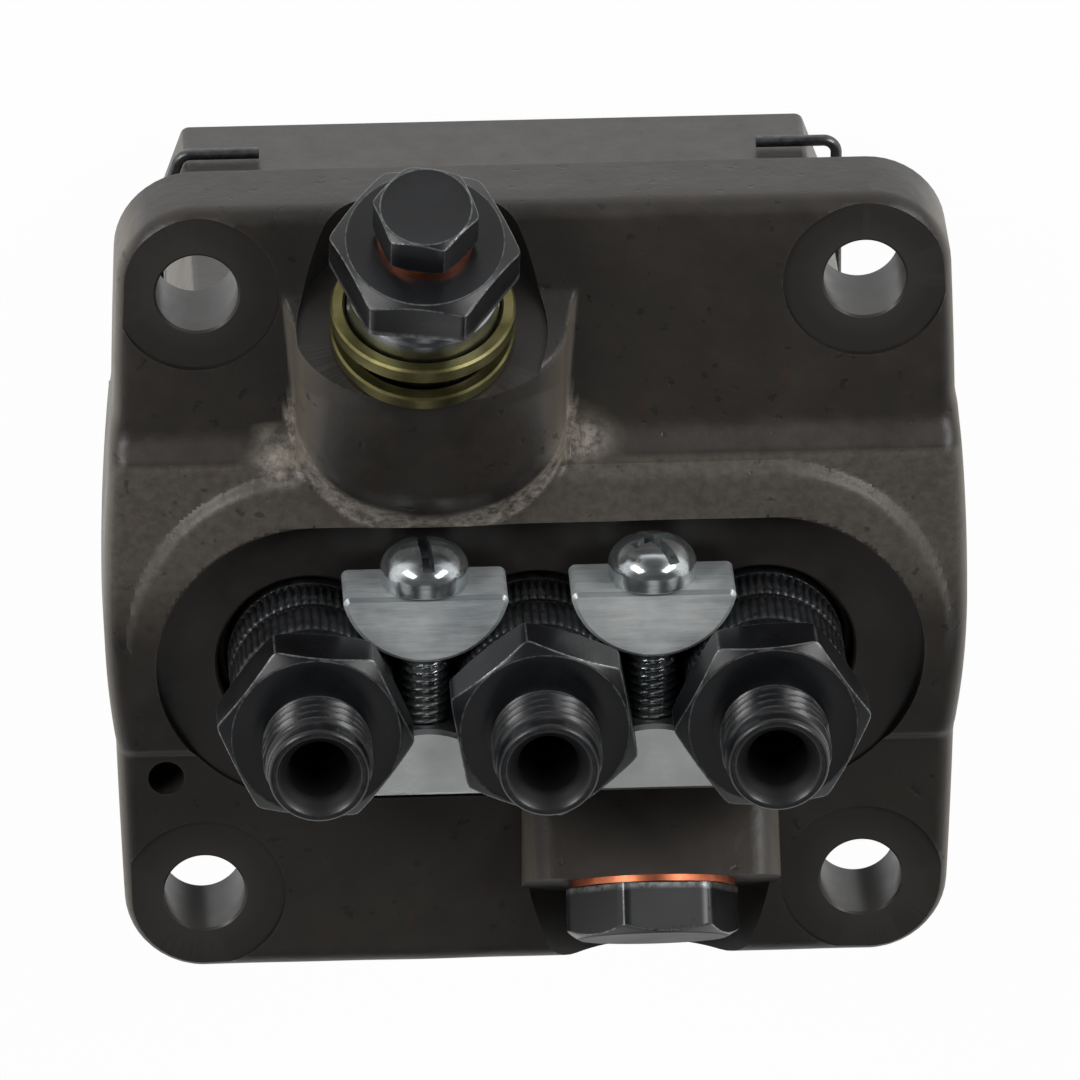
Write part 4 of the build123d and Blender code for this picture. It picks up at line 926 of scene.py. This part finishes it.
def thread_levels(r, pitch, depth, z0, z1, step, around=AROUND, fade=0.8, run_out=0.0):
    """Levels of an outside thread that fades in at its lower end and out towards its tip."""
    angle = np.arange(around) / around
    levels = []
    for z in spaced(z0, z1, step):
        phase = (z / pitch - angle) % 1.0
        tooth = np.abs(phase * 2 - 1)
        tooth = np.clip((tooth - 0.125) / 0.70, 0, 1)
        strength = min(1.0, max(0.0, (z - z0) / fade + 0.15))
        tip = max(0.0, 1.0 - (z1 - z) / run_out) if run_out else 0.0
        cut_back = depth * strength * tooth
        levels.append((z, r - cut_back - tip * (0.5 * depth - cut_back)))
    return levels


def serrated(r, depth, count=60):
    """Radius by angle of a collar with fine upright teeth."""
    angle = np.arange(AROUND) / AROUND * count
    return r - depth * np.abs((angle % 1.0) * 2 - 1)


HOLDER_TURN = {1: -6.0, 2: -20.0, 3: 3.5}    # of each hexagon, as tightened
HOLDER_AF = 19.0
HOLDER_R = 9.0                           # serrated collars
HEX_Z0 = FACE + 12.9
HEX_Z1 = FACE + 19.4
STUB_TOP = FACE + 29.2
STUB_R = 6.0                             # M12 x 1.5
LIP_R = 0.6
OUTLET_R = 3.3
DRILLING_R = 1.2


def collar_levels():
    """Seat end, then the two serrated collars with the clamping groove between them."""
    teeth = serrated(HOLDER_R, 0.20)
    upper = serrated(HOLDER_R, 0.12)
    return [
        (FACE - 12.0, 4.5), (FACE - 12.0, 8.7), (FACE - 11.7, HOLDER_R), (FACE - 1.0, HOLDER_R),
        (FACE - 0.95, teeth - 0.05), (FACE - 0.6, teeth), (FACE + 3.0, teeth),
        (FACE + 3.35, teeth - 0.25), (FACE + 3.45, 8.5), (FACE + 3.9, 8.42), (FACE + 4.3, 8.5),
        (FACE + 4.75, 8.85), (FACE + 4.8, upper - 0.1), (FACE + 5.1, upper), (FACE + 9.6, upper),
        (FACE + 10.0, upper - 0.2), (FACE + 10.1, 8.65), (FACE + 12.6, 8.65), (FACE + 12.88, 8.9)]


def stub_levels():
    """Undercut, thread, rounded lip, cone mouth and the bores down through the holder."""
    levels = [(HEX_Z1 + 0.02, 9.1), (HEX_Z1 + 0.02, 6.6), (HEX_Z1 - 0.05, 5.6), (HEX_Z1 + 0.1, 5.2),
              (HEX_Z1 + 1.3, 5.15)]
    levels += thread_levels(STUB_R, 1.5, 0.90, HEX_Z1 + 1.6, STUB_TOP - 1.9, 0.125, run_out=1.2)
    levels += [(STUB_TOP - 1.75, 5.66), (STUB_TOP - 1.5, 5.6), (STUB_TOP - 0.8, 5.55)]
    for a in range(0, 91, 15):
        turn = math.radians(a)
        levels.append((STUB_TOP - LIP_R + LIP_R * math.sin(turn), 4.95 + LIP_R * math.cos(turn)))
    return levels + [
        (STUB_TOP - 0.04, 4.78), (STUB_TOP - 0.2, 4.58), (STUB_TOP - 0.7, 4.2), (STUB_TOP - 1.3, 3.75),
        (STUB_TOP - 1.9, 3.38), (STUB_TOP - 2.2, OUTLET_R), (FACE + 20.2, OUTLET_R),
        (FACE + 20.0, 3.2), (FACE + 18.6, 1.3), (FACE + 18.4, DRILLING_R), (FACE + 9.0, DRILLING_R),
        (FACE + 9.0, 4.5)]


def delivery_holder(k):
    hexagon = hex_levels(HOLDER_AF, HOLDER_TURN[k], HEX_Z0, HEX_Z1, 9.25, both=True)
    levels = collar_levels() + hexagon + stub_levels()
    place = at(row_x(k), ROW_Y)
    piece = turned_piece(f"holder_{k}", levels, AROUND, place, ["black_oxide_steel"], closed=True)
    dress(piece, f"delivery_valve_holder_{k}")
    mark(piece, "thread", place, lambda r, z: (z > HEX_Z1 + 1.4) | (z < HEX_Z0 - 0.1))
    # painted shade on the bore walls inside the stub
    mark(piece, "painted_shade", place, lambda r, z: (r < 4.3) & (z > FACE + 12.0))


for element in ELEMENTS:
    delivery_holder(element)


SHANK_LENGTH = 12.2                      # of the banjo bolt, from its seat to the hexagon
SHANK_R = 8.3
UNION_AF = 18.2
UNION_TURN = -7.0
UNION_THREAD_R = 7.0                     # M14 x 1.5
UNION_BORE_R = 3.0
CROSS_HOLE_AT = 7.8
CROSS_HOLE_R = 2.0
BLEED_AF = 10.3
BLEED_TURN = -12.0
BLEED_HEX_H = 5.2
PLUG_AF = 17.0
PLUG_TURN = 52.3
PLUG_THREAD_R = 4.0
PLUG_WASHER_T = 0.7
PLUG_HEX_END = 6.4


def inlet_union():
    """Hollow banjo bolt of the inlet, its shank left bright between the washers."""
    hex_end = SHANK_LENGTH + 5.8
    levels = [(-11.2, UNION_BORE_R), (-11.2, 6.2), (-10.4, UNION_THREAD_R)]
    levels += thread_levels(UNION_THREAD_R, 1.5, 0.8, -10.3, -2.0, 0.15, fade=0.001)
    levels += [(-1.9, 6.2), (-0.02, 6.2), (0.0, 7.9), (0.3, SHANK_R), (9.4, SHANK_R), (9.7, 8.0),
               (11.9, 8.0), (SHANK_LENGTH - 0.05, SHANK_R)]
    levels += hex_levels(UNION_AF, UNION_TURN, SHANK_LENGTH, hex_end, 8.6)
    levels += [(hex_end + 0.01, r) for r in (8.45, SHANK_R, 8.0, 3.4, UNION_BORE_R)]
    levels += [(10.3, UNION_BORE_R), (10.3, 1.2), (8.7, 1.2), (8.7, UNION_BORE_R)]
    piece = turned_piece("inlet_union", levels, AROUND, UNION_FRAME, ["black_oxide_steel"], closed=True)
    drill = UNION_FRAME @ across(0.0, CROSS_HOLE_AT)
    hole = lathe_group([(-10, CROSS_HOLE_R), (10, CROSS_HOLE_R)], drill, 48)
    cut(piece, "cross_drill", [hole], "black_oxide_steel")
    dress(piece, "inlet_union_bolt")
    shank = (0.1, SHANK_LENGTH - 0.2)
    mark(piece, "bare", UNION_FRAME, lambda r, d: (r > 7.8) & (r < 8.4) & (d > shank[0]) & (d < shank[1]))


def bleed_screw():
    """Short hexagon screw in the banjo bolt's end."""
    base = SHANK_LENGTH + 6.8
    top = base + BLEED_HEX_H
    levels = [(base - 8.0, 2.4), (base - 7.6, 3.0), (base, 3.0)]
    levels += hex_levels(BLEED_AF, BLEED_TURN, base + 0.01, top, 4.95, both=True)
    levels += [(top, 4.8), (top - 0.01, 4.65), (top - 0.02, 4.4), (top - 0.04, 2.0)]
    piece = turned_piece("bleed_hex", levels, AROUND, UNION_FRAME, ["black_oxide_steel"])
    dress(piece, "bleed_screw")


def gallery_plug():
    """Hexagon plug on its copper washer; its end face gets painted shade."""
    end = PLUG_HEX_END
    levels = [(-8.4, 3.4), (-7.9, PLUG_THREAD_R)]
    levels += thread_levels(PLUG_THREAD_R, 1.0, 0.5, -7.8, 0.5, 0.15, fade=0.001)
    levels += [(PLUG_WASHER_T - 0.02, PLUG_THREAD_R), (PLUG_WASHER_T, 7.9)]
    levels += hex_levels(PLUG_AF, PLUG_TURN, PLUG_WASHER_T + 0.01, end, 8.15)
    levels += [(end + 0.01, 8.0), (end + 0.01, 7.85), (end, 7.5), (end - 0.05, 3.0)]
    piece = turned_piece("plug_hex", levels, AROUND, PLUG_FRAME, ["black_oxide_steel"])
    dress(piece, "gallery_plug")
    # painted shade on the plug's end face
    mark(piece, "painted_shade", PLUG_FRAME, lambda r, d: d > end - 0.1)


inlet_union()
bleed_screw()
gallery_plug()


# ---------------------------------------------------------------- clamp screws

SCREW_Z = FACE + 6.0
SCREW_TURN = (4.0, 32.0)                 # of each cross, as tightened
SCREW_R = 2.68
SCREW_PITCH = 1.0
HEAD_R = 4.8
HEAD_H = 4.7
HEAD_DOME = 3.0
JAW_FLAT_Y = 12.1                        # clamping jaw's outer face, from the row


def box_group(half_x, half_y, z0, z1, place):
    outline = [(-half_x, -half_y), (half_x, -half_y), (half_x, half_y), (-half_x, half_y)]
    points, faces = prism([(z0, outline), (z1, outline)])
    return placed(points, place), faces


def screw_levels(head):
    """Levels of a threaded shank under a pan head that ends at this height."""
    seat = JAW_FLAT_Y
    levels = [(-seat - 0.6, 1.6), (-seat - 0.3, 1.9)]
    levels += thread_levels(SCREW_R, SCREW_PITCH, 0.5, -seat, seat - 1.0, 0.1, 96, fade=0.001)
    levels += [(seat - 0.9, 2.1), (seat, 2.1), (seat, HEAD_R - 0.2), (seat + 0.2, HEAD_R)]
    for a in range(0, 91, 6):
        turn = math.radians(a)
        radius = (HEAD_R + 0.05) * math.cos(turn) ** 0.8 + 0.02
        levels.append((head - HEAD_DOME + HEAD_DOME * math.sin(turn), radius))
    return levels


def clamp_screws():
    """Two pan-head screws with a slot and a cross, threaded along the shank."""
    finish = "bright_zinc_screw"
    head = JAW_FLAT_Y + HEAD_H
    for gap, turn in enumerate(SCREW_TURN):
        middle = along_y(ROW_X + (gap - 0.5) * PITCH, ROW_Y, SCREW_Z)
        place = middle @ Matrix.Rotation(math.radians(turn), 4, "Z")
        piece = turned_piece(f"clamp_screw_{gap + 1}", screw_levels(head), 96, place, [finish])
        cut(piece, "slot_cutter", [box_group(0.65, 6, head - 1.5, head + 1, place)], finish)
        cut(piece, "cross_cutter", [box_group(2.6, 0.6, head - 1.9, head + 1, place)], finish)
        dress(piece, "clamp_screws", 38.0)


clamp_screws()


# ---------------------------------------------------------------- springs


def pressed_springs(kind):
    """Coil springs as pieces of their own, each a copy of its node set on the housing."""
    for k in ELEMENTS:
        node = frame["nodes"][f"{kind}_{k}"]
        mesh = node.data.copy()
        mesh.transform(node.matrix_world)
        piece = bpy.data.objects.new(f"coiled_{kind}_{k}", mesh)
        bpy.context.scene.collection.objects.link(piece)
        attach(piece, "housing")
        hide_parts(f"{kind}_{k}")
        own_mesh(piece)


pressed_springs("plunger_spring")
pressed_springs("delivery_valve_spring")


# ---------------------------------------------------------------- floor, light

FLOOR_HALF = 3.0                         # metres
FLOOR_SEEN = 0.975                       # how bright the floor looks, and how it mirrors
FLOOR_MIRRORED = 0.82
LAMP_ASIDE = 0.55                        # metres
LAMP_FORWARD = 0.45
LAMP_UP = 0.55
LAMP_SIZE = (0.25, 0.5)
LAMP_WATTS = 3.0


def make_floor():
    """White floor: lit plainly, and evenly bright for the camera and in the metal."""
    low = CAD_BOX[0][2]
    mesh = bpy.data.meshes.new("studio_floor")
    h = FLOOR_HALF
    mesh.from_pydata([(-h, -h, low), (h, -h, low), (h, h, low), (-h, h, low)], [], [(0, 1, 2, 3)])
    floor = bpy.data.objects.new("studio_floor", mesh)
    bpy.context.scene.collection.objects.link(floor)
    material = bpy.data.materials.new("pale_floor")
    material.use_nodes = True
    tree = material.node_tree
    tree.nodes.clear()
    path = add(tree, "ShaderNodeLightPath")
    straight = maths(tree, "MULTIPLY", path.outputs["Is Camera Ray"], FLOOR_SEEN)
    mirrored = maths(tree, "MULTIPLY", path.outputs["Is Glossy Ray"], FLOOR_MIRRORED)
    plain = add(tree, "ShaderNodeBsdfDiffuse", {"Color": linear("#f2f2f2")})
    white = add(tree, "ShaderNodeEmission", {"Color": (1, 1, 1, 1), "Strength": 1.0})
    share = maths(tree, "MAXIMUM", straight, mirrored)
    surface = add(tree, "ShaderNodeMixShader", {0: share, 1: plain.outputs[0], 2: white.outputs[0]})
    add(tree, "ShaderNodeOutputMaterial", {"Surface": surface.outputs[0]})
    mesh.materials.append(material)


def make_world():
    """White low down all round, dark overhead, with the dark reaching lower on the inlet's
    side, and a grey panel high on the other side for the jaws' faces to mirror."""
    world = bpy.data.worlds.new("studio_world")
    bpy.context.scene.world = world
    world.use_nodes = True
    tree = world.node_tree
    tree.nodes.clear()
    x, y, z = split(tree, add(tree, "ShaderNodeTexCoord").outputs["Generated"])
    aside = maths(tree, "ABSOLUTE", x)
    height = maths(tree, "SUBTRACT", z, maths(tree, "MULTIPLY", y, 0.25))
    tent = ramp(tree, height, (0.0, 1.0), (0.30, 0.92), (0.48, 0.45), (0.62, 0.12), (1.0, 0.05))
    wide = ramp(tree, aside, (0.22, 0.35), (0.60, 1.0))
    behind = ramp(tree, y, (0.25, 1.0), (0.60, 0.0))
    gap = maths(tree, "MAXIMUM", wide, behind)
    tent = mix_colour(tree, 1.0, tent, gap, "MULTIPLY")
    back_y = maths(tree, "MULTIPLY", y, -1.0)
    away = ramp(tree, back_y, (0.26, 0.0), (0.34, 0.45), (0.54, 0.45), (0.62, 0.0))
    near = ramp(tree, aside, (0.10, 1.0), (0.28, 0.0))
    above = ramp(tree, z, (0.6, 0.0), (0.75, 1.0))
    panel = maths(tree, "MULTIPLY", maths(tree, "MULTIPLY", away, near), above)
    tent = mix_colour(tree, 1.0, tent, panel, "ADD")
    path = add(tree, "ShaderNodeLightPath")
    colour = mix_colour(tree, path.outputs["Is Camera Ray"], tent, (1, 1, 1, 1))
    back = add(tree, "ShaderNodeBackground", {"Color": colour, "Strength": 1.0})
    add(tree, "ShaderNodeOutputWorld", {"Surface": back.outputs[0]})


def make_softbox(name, side):
    """Upright soft lamp to one side of the inlet, aimed at the part."""
    data = bpy.data.lights.new(name, "AREA")
    data.shape = "RECTANGLE"
    data.size, data.size_y = LAMP_SIZE
    data.energy = LAMP_WATTS
    lamp = bpy.data.objects.new(name, data)
    place = Vector((side * LAMP_ASIDE, LAMP_FORWARD, LAMP_UP))
    lamp.location = place
    lamp.rotation_euler = (-place).to_track_quat("-Z", "Y").to_euler()
    bpy.context.scene.collection.objects.link(lamp)


make_floor()
make_world()
make_softbox("left_softbox", -1)
make_softbox("right_softbox", 1)

bpy.context.scene.view_settings.view_transform = "Standard"
